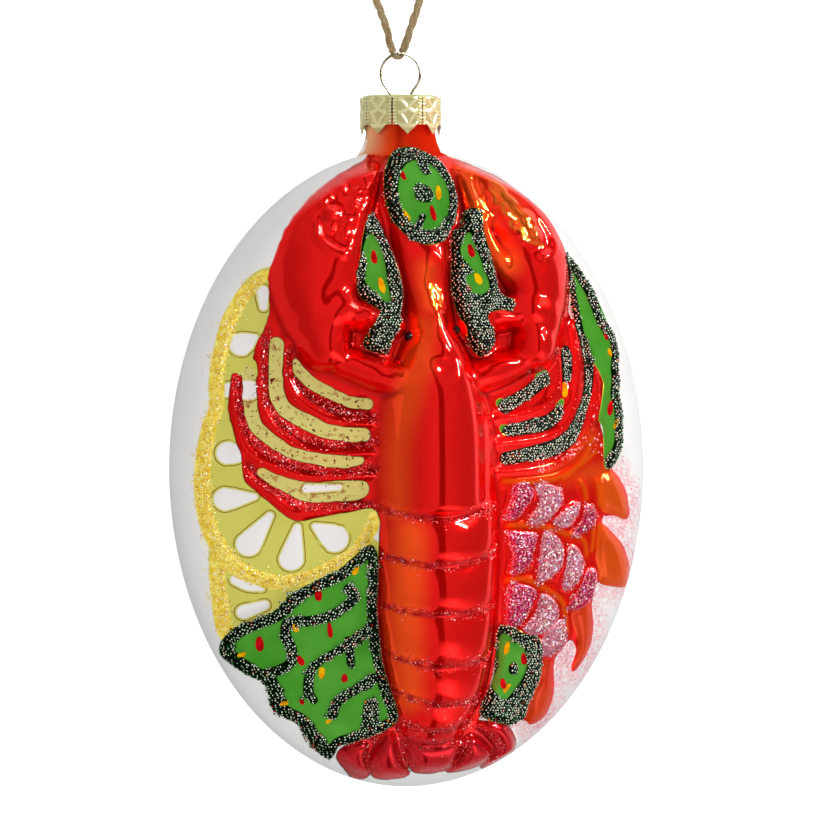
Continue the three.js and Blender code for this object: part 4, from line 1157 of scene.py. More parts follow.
def paintShell():
    x, y, z = vertexPlaces(glass).T
    onFront = z > rimHeight - painted["frontFrom"]
    fromAxis = np.hypot(x, z - axisHeight)
    onNeck = (y > painted["neckFrom"]) & (fromAxis < painted["neckReach"])
    onNeck &= z > axisHeight - painted["neckUnder"]
    turn = np.degrees(np.arctan2(x, z - axisHeight))

    # paint that runs over the neck too
    red = np.where(onFront | onNeck, bilinear(redField, x, y), -farAway)
    feather = 1 + ease(y, *painted["featherAlong"]) * (np.abs(x) > painted["featherAcross"])
    paintAttribute(glass, "red", red / feather)
    paintAttribute(glass, "edge", np.where(onNeck, 0, rimShare(x, y)))
    paintAttribute(glass, "pale", onNeck * ease(-turn, *painted["paleTurn"]))
    nearFeelers = strokes(widened(shrimps["feelers"], paintedTonesAndShade["calmHalfWidth"]))
    nearFeelers = ease(nearFeelers, *paintedTonesAndShade["calmEdge"])
    paintAttribute(glass, "calm", np.maximum(onNeck, bilinear(nearFeelers, x, y) * onFront))
    offTails = ease(bilinear(tailField, x, y), *painted["sharpOffTails"])
    sharp = 1 - ease(y, *painted["sharpUntil"]) - offTails
    paintAttribute(glass, "sharp", np.clip(sharp, 0, 1))

    # depths inside what is painted on the front
    depths = {
        "slice": sliceField, "rind": rindField, "petal": petalField, "leaf": leafField, "row": rowField,
        "shrimpTail": tailField, "patch": patchField, "rosy": rosyField, "gap": strokes(legs["leftGaps"]),
        "band": redGlitterDepth, "dust": np.maximum(dustField, shrimpEdgeField + paintedTonesAndShade["dustWider"]),
    }
    for name, field in depths.items():
        paintAttribute(glass, name, np.where(onFront, bilinear(field, x, y), -farAway))

    # shares of the painted tones, of the painted shade in grooves and of the painted reflection down the neck
    feelers = strokes(widened(shrimps["feelers"], paintedTonesAndShade["feelerHalfWidth"]))
    feelers = ease(feelers, *paintedTonesAndShade["feelerEdge"])
    orange = ease(strokes(paintedTonesAndShade["orange"]), *paintedTonesAndShade["orangeEdge"])
    # painted shade: the lacquer darkens where the relief lies below its softened self, in grooves and hollows
    paintedShadeAndReflection = (soften(relief, paintedTonesAndShade["paintedShadePasses"]) - relief) / paintedTonesAndShade["paintedShadeDepth"]
    gold = strokes(widened(claws["zigzags"], paintedTonesAndShade["zigzagHalfWidth"]))
    goldBand = paintedTonesAndShade["goldBand"] * ease(strokes([claws["goldBand"]]), *paintedTonesAndShade["goldBandEdge"])
    tones = {
        "tint": np.maximum(orange, feelers), "wine": ease(strokes(paintedTonesAndShade["wine"]), *paintedTonesAndShade["wineEdge"]),
        "paintedShadeAndReflection": np.clip(paintedShadeAndReflection, -1, 1), "gold": np.maximum(ease(gold, *paintedTonesAndShade["zigzagEdge"]), goldBand),
        "feeler": feelers,
    }
    orangeLeast = painted["orangeLeast"]
    # a dark stripe down the neck: a painted reflection of the dark gap overhead
    fromPaintedReflection = np.abs(turn - painted["paintedReflectionTurn"])
    neckTones = {
        "tint": orangeLeast + (1 - orangeLeast) * ease(-turn, *painted["orangeTurn"]),
        "paintedShadeAndReflection": painted["paintedReflection"] * ease(painted["paintedReflectionWidth"] - fromPaintedReflection, 0, painted["paintedReflectionSoft"]),
    }
    for name, field in tones.items():
        values = np.where(onFront, bilinear(field, x, y), 0)
        paintAttribute(glass, name, np.where(onNeck, neckTones.get(name, values), values))


paintShell()
print("shell painted")


# shader helpers
def srgb(red, green, blue):
    linear = [((c / 255 + 0.055) / 1.055) ** 2.4 if c > 10 else c / 3294 for c in (red, green, blue)]
    return (*linear, 1)


# mottling that every finish uses: noise on the piece's own coordinates, spread between two levels
def mottleGroup():
    group = bpy.data.node_groups.new("mottle", "ShaderNodeTree")
    for name in ("Scale", "Detail", "Low", "High"):
        group.interface.new_socket(name, in_out="INPUT", socket_type="NodeSocketFloat")
    group.interface.new_socket("Mask", in_out="OUTPUT", socket_type="NodeSocketFloat")
    given = group.nodes.new("NodeGroupInput").outputs
    place = group.nodes.new("ShaderNodeTexCoord")
    noise = group.nodes.new("ShaderNodeTexNoise")
    spread = group.nodes.new("ShaderNodeMapRange")
    result = group.nodes.new("NodeGroupOutput")
    group.links.new(place.outputs["Object"], noise.inputs["Vector"])
    group.links.new(given["Scale"], noise.inputs["Scale"])
    group.links.new(given["Detail"], noise.inputs["Detail"])
    group.links.new(noise.outputs["Fac"], spread.inputs["Value"])
    group.links.new(given["Low"], spread.inputs["From Min"])
    group.links.new(given["High"], spread.inputs["From Max"])
    group.links.new(spread.outputs["Result"], result.inputs["Mask"])
    return group


mottled = mottleGroup()
# noise scale and detail, and the two levels that it is spread between
mottling = {
    "drift": (120, 3), "fine": (900, 2), "ripple": (140,), "gloss": (60,), "dust": (1500, 3, 0.4, 0.58),
    "smear": (900, 4, 0.54, 0.66), "petalLine": (330, 1, 0.3, 0.42), "speck": (1500, 1, 0.66, 0.69),
    "band": (700, 3, 0.35, 0.6), "sparkle": (2500, 0), "drop": (700, 2, 0.25, 0.6), "dropGloss": (400,),
    "eye": (600,), "eyeGloss": (300,), "gilt": (500, 4), "beaten": (900, 3), "wire": (800, 3), "jute": (260,),
}
roughness = {
    "glass": (0.05, 0.09), "flakes": (0.3, 0.45), "beads": (0.25, 0.4), "drops": (0.35, 0.5),
    "eyes": (0.06, 0.14), "gilt": (0.16, 0.26), "wire": (0.2, 0.38), "jute": (0.75, 0.95), "leaves": 0.7,
}
# where a painted field starts and is full, and the shares there if not 0 and 1
paintEdges = {
    "slice": (-0.08, 0.08), "gap": (-0.1, 0.1), "petal": (-0.05, 0.2), "rind": (-0.15, 0.15),
    "band": (-0.5, 0.2), "paintedShadeAndReflection": (0.1, 0.7), "calm": (0, 1, 0, 0.6), "edge": (0.9, 1, 0, 0.5),
    "dust": (-2.5, 2, 0, 0.9), "red": (-0.06, 0.06), "shrimpTail": (-0.1, 0.15), "patch": (0.3, 0.6),
    "rosy": (-0.2, 0.4), "leaf": (-0.08, 0.08), "row": (-0.1, 0.1), "emboss": (0.5, 1),
}
petalLine = {"outside": 0.32, "halfWidth": (0.05, 0.14)}
outlineDepth = (0.04, 0.2)
smearDepth = (0.15, 0.6, 0, 0.8)
tailsTurn = (-0.026, -0.021)


class Bench:
    def __init__(self, name):
        self.material = bpy.data.materials.new(name)
        self.material.use_nodes = True
        self.nodes = self.material.node_tree.nodes
        self.links = self.material.node_tree.links
        self.bsdf = self.nodes["Principled BSDF"]

    def add(self, kind, **settings):
        made = self.nodes.new(kind)
        for key, value in settings.items():
            setattr(made, key, value)
        return made

    def put(self, socket, value):
        if hasattr(value, "is_output"):
            self.links.new(value, socket)
        else:
            socket.default_value = value

    def attribute(self, name, output="Fac"):
        return self.add("ShaderNodeAttribute", attribute_name=name).outputs[output]

    def mottle(self, kind):
        made = self.add("ShaderNodeGroup", node_tree=mottled)
        usual = (0, 2, 0, 1)
        given = mottling[kind]
        for key, number in zip(("Scale", "Detail", "Low", "High"), given + usual[len(given):]):
            made.inputs[key].default_value = number
        return made.outputs["Mask"]

    def lengthways(self):
        split = self.add("ShaderNodeSeparateXYZ")
        self.links.new(self.add("ShaderNodeTexCoord").outputs["Object"], split.inputs["Vector"])
        return split.outputs["Y"]

    def span(self, value, low, high, toLow=0, toHigh=1):
        made = self.add("ShaderNodeMapRange")
        for key, number in (("From Min", low), ("From Max", high), ("To Min", toLow), ("To Max", toHigh)):
            made.inputs[key].default_value = number
        self.put(made.inputs["Value"], value)
        return made.outputs["Result"]

    def inside(self, name):
        return self.span(self.attribute(name), *paintEdges[name])

    # most of any noise lies between these two levels
    def worn(self, noise, low=0, high=1):
        return self.span(noise, 0.3, 0.7, low, high)

    def math(self, operation, a, b=0):
        made = self.add("ShaderNodeMath", operation=operation)
        self.put(made.inputs[0], a)
        self.put(made.inputs[1], b)
        return made.outputs["Value"]

    def mix(self, factor, a, b):
        made = self.add("ShaderNodeMix", data_type="RGBA")
        self.put(made.inputs[0], factor)
        self.put(made.inputs[6], a)
        self.put(made.inputs[7], b)
        return made.outputs[2]

    def finish(self, colour, rough, metallic=None, height=None, bump=0.2, depth=0.001, **sockets):
        self.put(self.bsdf.inputs["Base Color"], colour)
        self.put(self.bsdf.inputs["Roughness"], rough)
        if metallic is not None:
            self.put(self.bsdf.inputs["Metallic"], metallic)
        for key, value in sockets.items():
            self.bsdf.inputs[key.replace("_", " ")].default_value = value
        if height is not None:
            made = self.add("ShaderNodeBump")
            made.inputs["Strength"].default_value = bump
            made.inputs["Distance"].default_value = depth
            self.put(made.inputs["Height"], height)
            self.links.new(made.outputs["Normal"], self.bsdf.inputs["Normal"])
        return self.material


# the glass painter's colours
paints = {
    "white": (236, 234, 231), "paleWhite": (242, 240, 238), "rimShade": (186, 188, 190),
    "dust": (232, 158, 172), "flesh": (204, 198, 82), "paleFlesh": (216, 211, 108),
    "gap": (214, 205, 120), "smear": (160, 92, 38), "petal": (240, 236, 234), "petalLine": (140, 104, 40),
    "rind": (236, 200, 54), "paleRind": (252, 234, 112), "speck": (104, 16, 8), "lacquer": (228, 10, 6),
    # the dark red (160, 4, 5) below is painted shade in grooves and a painted reflection down the neck
    "orange": (255, 80, 18), "wine": (190, 18, 28), "paintedShadeAndReflection": (160, 4, 5), "band": (160, 4, 10),
    "gold": (206, 112, 34), "calm": (172, 36, 12), "feeler": (208, 78, 14), "paleNeck": (226, 170, 124),
    "outline": (60, 6, 5), "lowTail": (202, 32, 12), "highTail": (214, 72, 8), "paleTail": (224, 92, 18),
    "shrimp": (180, 84, 106), "paleShrimp": (218, 160, 172), "rosy": (178, 24, 70), "leaf": (46, 134, 24),
    # (240, 255, 226) on the next line is the beads' painted highlight
    "paleLeaf": (100, 176, 66), "underBeads": (8, 22, 10), "crown": (240, 255, 226),
    "strayDust": (240, 186, 198), "gilt": (174, 171, 108), "paleGilt": (206, 204, 152),
    # (222, 220, 170) below is the cap's painted highlight on its ridges
    "ridge": (222, 220, 170), "wire": (92, 84, 66), "paleWire": (150, 142, 120), "jute": (120, 88, 46),
    "paleJute": (226, 197, 140), "driedJute": (232, 209, 160), "redDrop": (150, 6, 12),
    "paleRedDrop": (204, 12, 22), "yellowDrop": (226, 120, 10), "paleYellowDrop": (244, 188, 0),
}
paint = {name: srgb(*tone) for name, tone in paints.items()}


def lemonPaint(bench, colour, drift, fine):
    flesh = bench.mix(drift, paint["flesh"], paint["paleFlesh"])
    colour = bench.mix(bench.inside("slice"), colour, flesh)
    inGap = bench.inside("gap")
    smear = bench.span(bench.attribute("gap"), *smearDepth)
    smear = bench.math("MULTIPLY", bench.mottle("smear"), smear)
    colour = bench.mix(inGap, colour, bench.mix(smear, paint["gap"], paint["smear"]))
    colour = bench.mix(bench.inside("petal"), colour, paint["petal"])
    offLine = bench.math("ADD", bench.attribute("petal"), petalLine["outside"])
    line = bench.span(bench.math("ABSOLUTE", offLine), *petalLine["halfWidth"], 1, 0)
    line = bench.math("MULTIPLY", line, bench.mottle("petalLine"))
    colour = bench.mix(line, colour, paint["petalLine"])
    rind = bench.mix(bench.span(fine, 0.4, 0.6), paint["rind"], paint["paleRind"])
    colour = bench.mix(bench.inside("rind"), colour, rind)
    return bench.mix(bench.math("MULTIPLY", inGap, bench.mottle("speck")), colour, paint["speck"])


def lacquerPaint(bench):
    outline = bench.span(bench.attribute("red"), *outlineDepth, 1, 0)
    layers = [
        (bench.attribute("wine"), "wine"),
        # painted shade in the grooves, and a painted dark reflection down the neck
        (bench.inside("paintedShadeAndReflection"), "paintedShadeAndReflection"),
        (bench.math("MULTIPLY", bench.inside("band"), bench.mottle("band")), "band"),
        (bench.attribute("gold"), "gold"),
        (bench.inside("calm"), "calm"),
        (bench.attribute("feeler"), "feeler"),
        (bench.attribute("pale"), "paleNeck"),
        (bench.math("MULTIPLY", outline, bench.attribute("sharp")), "outline"),
    ]
    # orange where tinted; down the left halves partly a painted reflection of the bright left side
    lacquer = bench.mix(bench.attribute("tint"), paint["lacquer"], paint["orange"])
    for mask, tone in layers:
        lacquer = bench.mix(mask, lacquer, paint[tone])
    return lacquer


def paintedGlass():
    bench = Bench("paintedGlass")
    drift = bench.mottle("drift")
    fine = bench.mottle("fine")
    white = bench.mix(drift, paint["white"], paint["paleWhite"])
    white = bench.mix(bench.inside("edge"), white, paint["rimShade"])
    dusty = bench.math("MULTIPLY", bench.inside("dust"), bench.mottle("dust"))
    colour = bench.mix(dusty, white, paint["dust"])
    colour = lemonPaint(bench, colour, drift, fine)
    redMask = bench.inside("red")
    colour = bench.mix(redMask, colour, lacquerPaint(bench))
    tailMask = bench.inside("shrimpTail")
    tails = bench.mix(bench.span(bench.lengthways(), *tailsTurn), paint["lowTail"], paint["highTail"])
    tails = bench.mix(bench.span(drift, 0.3, 0.8, 0, 0.5), tails, paint["paleTail"])
    colour = bench.mix(tailMask, colour, tails)
    patchMask = bench.inside("patch")
    pink = bench.mix(fine, paint["shrimp"], paint["paleShrimp"])
    pink = bench.mix(bench.inside("rosy"), pink, paint["rosy"])
    colour = bench.mix(patchMask, colour, pink)
    leafMask = bench.inside("leaf")
    colour = bench.mix(leafMask, colour, bench.mix(drift, paint["leaf"], paint["paleLeaf"]))
    rowMask = bench.inside("row")
    colour = bench.mix(rowMask, colour, paint["underBeads"])
    metallic = bench.math("MULTIPLY", redMask, 0.6)
    calm = bench.attribute("calm")
    for mask, left in ((leafMask, 0), (patchMask, 0), (rowMask, 0), (tailMask, 0.3), (calm, 0)):
        metallic = bench.math("MULTIPLY", metallic, bench.span(mask, 0, 1, 1, left))
    dull = bench.math("MAXIMUM", leafMask, patchMask)
    gloss = bench.worn(bench.mottle("gloss"), *roughness["glass"])
    rough = bench.math("MAXIMUM", gloss, bench.span(dull, 0, 1, 0, roughness["leaves"]))
    uncoated = bench.math("MAXIMUM", dull, calm)
    bench.put(bench.bsdf.inputs["Coat Weight"], bench.span(uncoated, 0, 1, 0.2, 0))
    return bench.finish(colour, rough, metallic, bench.mottle("ripple"), bump=0.1, depth=0.0008,
                        Coat_Roughness=0.02, Specular_IOR_Level=0)


finishedIn(glass, paintedGlass())

# scattered things: seeded places on a jittered honeycomb, kept where a field allows
strewn = {
    "across": (-45, 45), "along": (-58, 66), "rowPitch": 0.866, "overDisc": -0.2, "shades": (0.75, 1.15),
}


def honeycomb(step, jitter, rng):
    xs = np.arange(*strewn["across"], step)
    ys = np.arange(*strewn["along"], step * strewn["rowPitch"])
    x, y = np.meshgrid(xs, ys)
    x = x + (np.arange(len(ys)) % 2)[:, None] * step / 2
    x = x + rng.uniform(-jitter, jitter, x.shape)
    y = y + rng.uniform(-jitter, jitter, y.shape)
    return x.ravel(), y.ravel()


def kept(step, jitter, rng, chance):
    x, y = honeycomb(step, jitter, rng)
    onPlatter = rimShare(x, y) < shell["frontShare"]
    onPlatter |= bilinear(discField, x, y) > strewn["overDisc"]
    x, y = x[onPlatter], y[onPlatter]
    keep = rng.uniform(0, 1, x.shape) < chance(x, y)
    return x[keep], y[keep]


slopeY, slopeX = np.gradient(surface, sheet["step"])


def onSurface(x, y):
    return np.stack([x, y, bilinear(surface, x, y)], axis=1)


def surfaceNormals(x, y):
    normals = np.stack([-bilinear(slopeX, x, y), -bilinear(slopeY, x, y), np.ones_like(x)], axis=1)
    return normals / np.linalg.norm(normals, axis=1)[:, None]


def scatter(name, template, faces, places, frames, sizes, colours, material):
    count, corners = len(places), len(template)
    shaped = np.einsum("nij,vj->nvi", frames, template) * sizes[:, None, None] + places[:, None, :]
    allFaces = (faces[None] + np.arange(count)[:, None, None] * corners).reshape(-1, faces.shape[1])
    mesh = bpy.data.meshes.new(name)
    mesh.from_pydata((shaped.reshape(-1, 3) * mm).tolist(), [], allFaces.tolist())
    tones = mesh.color_attributes.new("tone", "FLOAT_COLOR", "POINT")
    colours = np.broadcast_to(colours, (count, corners, 4))
    tones.data.foreach_set("color", colours.astype(np.float32).ravel())
    piece = bpy.data.objects.new(name, mesh)
    bpy.context.scene.collection.objects.link(piece)
    mesh.materials.append(material)
    return piece


# twenty faces, the first corner on top
def icosahedron():
    points = [(0, 0, 1)]
    for start, height in ((0, 1), (36, -1)):
        for angle in np.radians(start + 72 * np.arange(5)):
            points.append((2 * math.cos(angle) / 5 ** 0.5, 2 * math.sin(angle) / 5 ** 0.5, height / 5 ** 0.5))
    points.append((0, 0, -1))
    faces = []
    for i in range(5):
        j = (i + 1) % 5
        faces += [(0, 1 + i, 1 + j), (1 + i, 6 + i, 1 + j), (1 + j, 6 + i, 6 + j), (11, 6 + j, 6 + i)]
    return np.array(points), np.array(faces)


def octahedron(flatness):
    points = np.array([(1, 0, 0), (0, 1, 0), (-1, 0, 0), (0, -1, 0), (0, 0, flatness), (0, 0, -flatness)])
    faces = np.array([(0, 1, 4), (1, 2, 4), (2, 3, 4), (3, 0, 4), (1, 0, 5), (2, 1, 5), (3, 2, 5), (0, 3, 5)])
    return points, faces


def tiltedFrames(normals, tilt, rng):
    lean = normals + rng.normal(0, tilt, normals.shape)
    lean /= np.linalg.norm(lean, axis=1)[:, None]
    spin = rng.normal(0, 1, normals.shape)
    side = np.cross(lean, spin)
    side /= np.linalg.norm(side, axis=1)[:, None]
    return np.stack([side, np.cross(lean, side), lean], axis=2)


def pickTones(palette, count, rng):
    shares = np.array([share for share, tone in palette], float)
    tones = np.array([srgb(*tone) for share, tone in palette])
    picked = tones[rng.choice(len(palette), count, p=shares / shares.sum())]
    picked[:, :3] *= rng.uniform(*strewn["shades"], (count, 1))
    return np.clip(picked, 0, 1)


def flakeFinish(name, metallic):
    bench = Bench(name)
    sparkle = bench.mottle("sparkle")
    tone = bench.attribute("tone", "Color")
    bright = bench.mix(bench.span(sparkle, 0.35, 0.65, 0, 0.1), tone, (1, 1, 1, 1))
    rough = bench.worn(sparkle, *roughness["flakes"])
    return bench.finish(bright, rough, metallic, Specular_IOR_Level=0.03)


# dark glass; the fourth value of the tone says how wide the painted highlight on top is
def beadFinish():
    bench = Bench("glassBeads")
    tone = bench.add("ShaderNodeAttribute", attribute_name="tone").outputs
    colour = bench.mix(bench.span(tone["Alpha"], 0.26, 0.4), tone["Color"], paint["crown"])
    rough = bench.worn(bench.mottle("sparkle"), *roughness["beads"])
    return bench.finish(colour, rough, Specular_IOR_Level=0.1)


# dark green glass beads, most with a painted highlight on top
beads = {
    "step": 0.49, "jitter": 0.1, "radius": 0.25, "tilt": 0.3, "seed": 31, "ragged": 2,
    "edge": (-0.12, 0.12), "crowned": 0.85, "crown": (0.6, 1), "lift": (0.3, 1), "sizes": (0.82, 1.15),
    "glass": [
        (58, (2, 16, 5)), (26, (6, 46, 12)), (11, (24, 92, 30)), (4, (150, 24, 14)), (1, (214, 120, 30))],
}


def strewBeads():
    rng = np.random.default_rng(beads["seed"])
    ragged = rowField + beads["ragged"] * edgeRipple
    x, y = kept(beads["step"], beads["jitter"], rng,
                lambda x, y: ease(bilinear(ragged, x, y), *beads["edge"]))
    normals = surfaceNormals(x, y)
    lift = beads["radius"] * rng.uniform(*beads["lift"], len(x))
    sizes = beads["radius"] * rng.uniform(*beads["sizes"], len(x))
    points, faces = icosahedron()
    tones = np.repeat(pickTones(beads["glass"], len(x), rng)[:, None], len(points), axis=1)
    tones[:, :, 3] = 0
    # the top corner carries the painted highlight
    tones[:, 0, 3] = rng.uniform(*beads["crown"], len(x)) * (rng.uniform(0, 1, len(x)) < beads["crowned"])
    frames = tiltedFrames(normals, beads["tilt"], rng)
    places = onSurface(x, y) + normals * lift[:, None]
    piece = scatter("herbBeads", points, faces, places, frames, sizes, tones, beadFinish())
    alone(piece)
    bpy.ops.object.shade_smooth()
    return piece


# dense: the chance in the thick of it; stray: the chance of a grain about it
flakes = {"jitter": 0.4, "lift": 0.05, "flatness": 0.35, "sizes": (0.6, 1.25)}
glitters = {
    "rindGlitter": {
        "step": 0.29, "size": 0.16, "seed": 41, "tilt": 0.35, "metallic": 0.05, "ragged": 2.5,
        "dense": 0.92, "denseEdge": (-0.3, 0.4), "stray": 0.02, "strayEdge": (-2, 0),
        # the near-white flakes stand in for glints: painted highlights
        "palette": [
            (46, (244, 216, 66)), (16, (222, 178, 36)), (20, (252, 238, 146)), (5, (170, 112, 26)),
            (10, (255, 252, 230)), (3, (220, 130, 50))],
    },
    "shrimpGlitter": {
        "step": 0.32, "size": 0.19, "seed": 42, "tilt": 0.4, "metallic": 0.03, "ragged": 1.5,
        "dense": 0.95, "denseEdge": (-0.25, 0.2), "dusty": 0.7, "dustyEdge": (-0.6, 0.8), "offTail": 12.6,
        "halo": 0.26, "haloFrom": (-5, -0.3), "haloUntil": (-0.4, 0.1), "haloRight": 20, "reddened": 0.46,
        "rosyEdge": (-0.2, 0.4), "rosyLoss": (0.1, 0.8, 0.5), "paler": 0.6, "palerEdge": (0.2, 0.6),
        "palette": [
            (30, (240, 230, 236)), (28, (194, 40, 80)), (20, (206, 112, 134)), (20, (136, 14, 40)),
            (3, (180, 120, 210)), (5, (244, 220, 180))],
    },
    "redGlitter": {
        "step": 0.32, "size": 0.16, "seed": 43, "tilt": 0.45, "metallic": 0.05, "ragged": 2.5,
        "dense": 0.7, "denseEdge": (-0.8, 0.4), "stray": 0.05, "strayEdge": (-2.4, 0), "inside": 0.05,
        # the near-white flakes stand in for glints: painted highlights
        "palette": [
            (42, (206, 10, 18)), (12, (150, 3, 10)), (24, (230, 38, 38)), (11, (250, 130, 126)),
            (6, (255, 240, 238))],
    },
}


def strewGlitter(name, chance, tint=None):
    kind = glitters[name]
    rng = np.random.default_rng(kind["seed"])
    x, y = kept(kind["step"], kind["step"] * flakes["jitter"], rng, chance)
    normals = surfaceNormals(x, y)
    places = onSurface(x, y) + normals * flakes["lift"]
    sizes = kind["size"] * rng.uniform(*flakes["sizes"], len(x))
    tones = pickTones(kind["palette"], len(x), rng)
    if tint is not None:
        tones[:, :3] = tint(tones[:, :3], x, y, rng)
    frames = tiltedFrames(normals, kind["tilt"], rng)
    return scatter(name, *octahedron(flakes["flatness"]), places, frames, sizes, tones[:, None],
                   flakeFinish(name + "Finish", kind["metallic"]))


def bandChance(kind, field, x, y):
    depth = bilinear(field + kind["ragged"] * edgeRipple, x, y)
    return kind["dense"] * ease(depth, *kind["denseEdge"]) + kind["stray"] * ease(depth, *kind["strayEdge"])


def rindChance(x, y):
    bare = (bilinear(redField, x, y) < 0) & (bilinear(leafField, x, y) < 0)
    return bare * bandChance(glitters["rindGlitter"], rindField, x, y)


def redChance(x, y):
    kind = glitters["redGlitter"]
    bare = (bilinear(redField, x, y) > kind["inside"]) & (bilinear(rowField, x, y) < 0)
    bare &= bilinear(patchField, x, y) < 0
    return bare * bandChance(kind, redGlitterDepth, x, y)


def shrimpChance(x, y):
    kind = glitters["shrimpGlitter"]
    bare = (bilinear(leafField, x, y) < 0) & (bilinear(tailField, x, y) < 0) & (x > kind["offTail"])
    depth = bilinear(patchField + kind["ragged"] * edgeRipple, x, y)
    patch = kind["dense"] * ease(depth, *kind["denseEdge"])
    dust = kind["dusty"] * ease(bilinear(dustField, x, y), *kind["dustyEdge"])
    edge = bilinear(shrimpEdgeField, x, y)
    halo = kind["halo"] * (ease(edge, *kind["haloFrom"]) - ease(edge, *kind["haloUntil"]))
    return bare * np.maximum.reduce([patch, dust, halo * (x > kind["haloRight"])])


# redder on the rosy patches, paler where it only dusts the platter
def shrimpTint(tones, x, y, rng):
    kind = glitters["shrimpGlitter"]
    rosy = ease(bilinear(rosyField, x, y), *kind["rosyEdge"])
    rosy = rosy * (rng.uniform(0, 1, len(x)) < kind["reddened"])
    tones = tones * (1 - rosy[:, None] * np.array(kind["rosyLoss"]))
    strayed = kind["paler"] * ease(-bilinear(patchField, x, y), *kind["palerEdge"])
    return tones + (np.array(paint["strayDust"][:3]) - tones) * strayed[:, None]


herbBeads = strewBeads()
rindGlitter = strewGlitter("rindGlitter", rindChance)
shrimpGlitter = strewGlitter("shrimpGlitter", shrimpChance, shrimpTint)
redGlitter = strewGlitter("redGlitter", redChance)
for piece in (herbBeads, rindGlitter, shrimpGlitter, redGlitter):
    print(piece.name, "strewn:", len(piece.data.polygons), "faces")

# paint drops on the herbs: x, y, length, width, turn in degrees
drops = {
    "thickness": 0.13, "tipFrom": 0.9, "drawnOut": 0.55, "drawnReach": 1.3, "cutAt": -0.5,
    "red": [
        (-4, 53.2, 1.3, 0.6, 10), (0.7, 46, 1.2, 0.5, 12), (-10.6, 37.8, 1.1, 0.6, 5),
        (7.7, 39.3, 1.1, 0.7, 10), (6.7, 32.6, 0.9, 0.7, 0), (-21, -22.9, 1.3, 0.7, 5),
        (-30.7, -32, 1.1, 0.8, 0), (-18.6, -29.7, 1.3, 0.5, 8), (-23.4, -34.9, 0.9, 0.6, 40),
        (-15.6, -38.1, 0.6, 0.6, 0), (-22.3, -42.4, 0.8, 0.5, 55), (18.4, -34.8, 1, 0.8, 0),
        (14.4, -39.4, 0.8, 0.6, 20), (35, 24.4, 1.1, 0.5, 20), (35.2, 10.6, 1.1, 0.6, -8)],
    "yellow": [
        (2.3, 49.8, 1.2, 0.55, -8), (-4.3, 45.8, 1.2, 0.6, 30), (-9.4, 32.8, 1.2, 0.6, 12),
        (8.7, 34.2, 0.9, 0.7, 20), (35.7, 21.3, 1, 0.6, 5), (36.4, 8, 0.9, 0.4, -25),
        (14.7, -32.9, 1.1, 0.6, -12), (14.9, -40.4, 1, 0.5, -25), (-14.6, -18.6, 0.9, 0.6, -20),
        (-32.9, -33.6, 1.2, 0.55, 80), (-24.6, -29, 0.8, 0.6, 30), (-19.7, -36.8, 1.3, 0.6, -5),
        (-25, -42.4, 1.3, 0.5, 88), (-17.6, -45.6, 0.9, 0.5, -50), (25.9, 14, 1.1, 0.7, 0)],
}


# one flat teardrop, its tip drawn out and its underside cut off
def modelDrop():
    bpy.ops.mesh.primitive_uv_sphere_add(segments=16, ring_count=10, radius=1)
    drop = bpy.context.object
    tip = rawPlaces(drop)[:, 1] > drops["tipFrom"]
    bpy.ops.object.mode_set(mode="EDIT")
    bpy.ops.mesh.select_mode(type="VERT")
    bpy.ops.mesh.select_all(action="DESELECT")
    bpy.ops.object.mode_set(mode="OBJECT")
    drop.data.vertices.foreach_set("select", tip)
    bpy.ops.object.mode_set(mode="EDIT")
    bpy.ops.transform.translate(value=(0, drops["drawnOut"], 0), use_proportional_edit=True,
                                proportional_size=drops["drawnReach"])
    bpy.ops.mesh.select_all(action="SELECT")
    bpy.ops.mesh.bisect(plane_co=(0, 0, drops["cutAt"]), plane_no=(0, 0, 1), clear_inner=True, use_fill=True)
    bpy.ops.object.mode_set(mode="OBJECT")
    return drop


# a copy set down on the glass, leaning with it
def setDown(model, x, y, scale=(1, 1, 1), turn=0, lean=1, lift=0):
    spot = np.array([float(x)]), np.array([float(y)])
    normal = surfaceNormals(*spot)[0]
    piece = model.copy()
    piece.data = model.data.copy()
    bpy.context.scene.collection.objects.link(piece)
    piece.location = (x * mm, y * mm, (bilinear(surface, *spot)[0] + lift) * mm)
    piece.scale = scale
    piece.rotation_euler = (-math.asin(normal[1]) * lean, math.asin(normal[0]) * lean, math.radians(turn))
    alone(piece)
    bpy.ops.object.transform_apply()
    return piece


def paintDrops(name, deep, pale):
    model = modelDrop()
    pieces = []
    for x, y, length, width, turn in drops[name]:
        scale = (width * mm, length * mm, drops["thickness"] * mm)
        pieces.append(setDown(model, x, y, scale, turn))
    bpy.data.objects.remove(model)
    piece = joined(name + "Drops", pieces)
    bpy.ops.object.shade_smooth()
    bench = Bench(name + "Paint")
    colour = bench.mix(bench.mottle("drop"), paint[deep], paint[pale])
    rough = bench.worn(bench.mottle("dropGloss"), *roughness["drops"])
    return finishedIn(piece, bench.finish(colour, rough, Specular_IOR_Level=0.0))


redDrops = paintDrops("red", "redDrop", "paleRedDrop")
yellowDrops = paintDrops("yellow", "yellowDrop", "paleYellowDrop")

eyes = {
    "places": [(-4.4, 23.9), (4.7, 25.2)], "radius": 0.72, "lift": 0.25, "lean": 0.5,
    "collar": [(1.3, 0), (1.12, -0.3), (1, -0.9)],  # how much wider, and how far down
    "black": (0.004, 0.003, 0.003, 1), "brown": (0.012, 0.006, 0.005, 1),
}


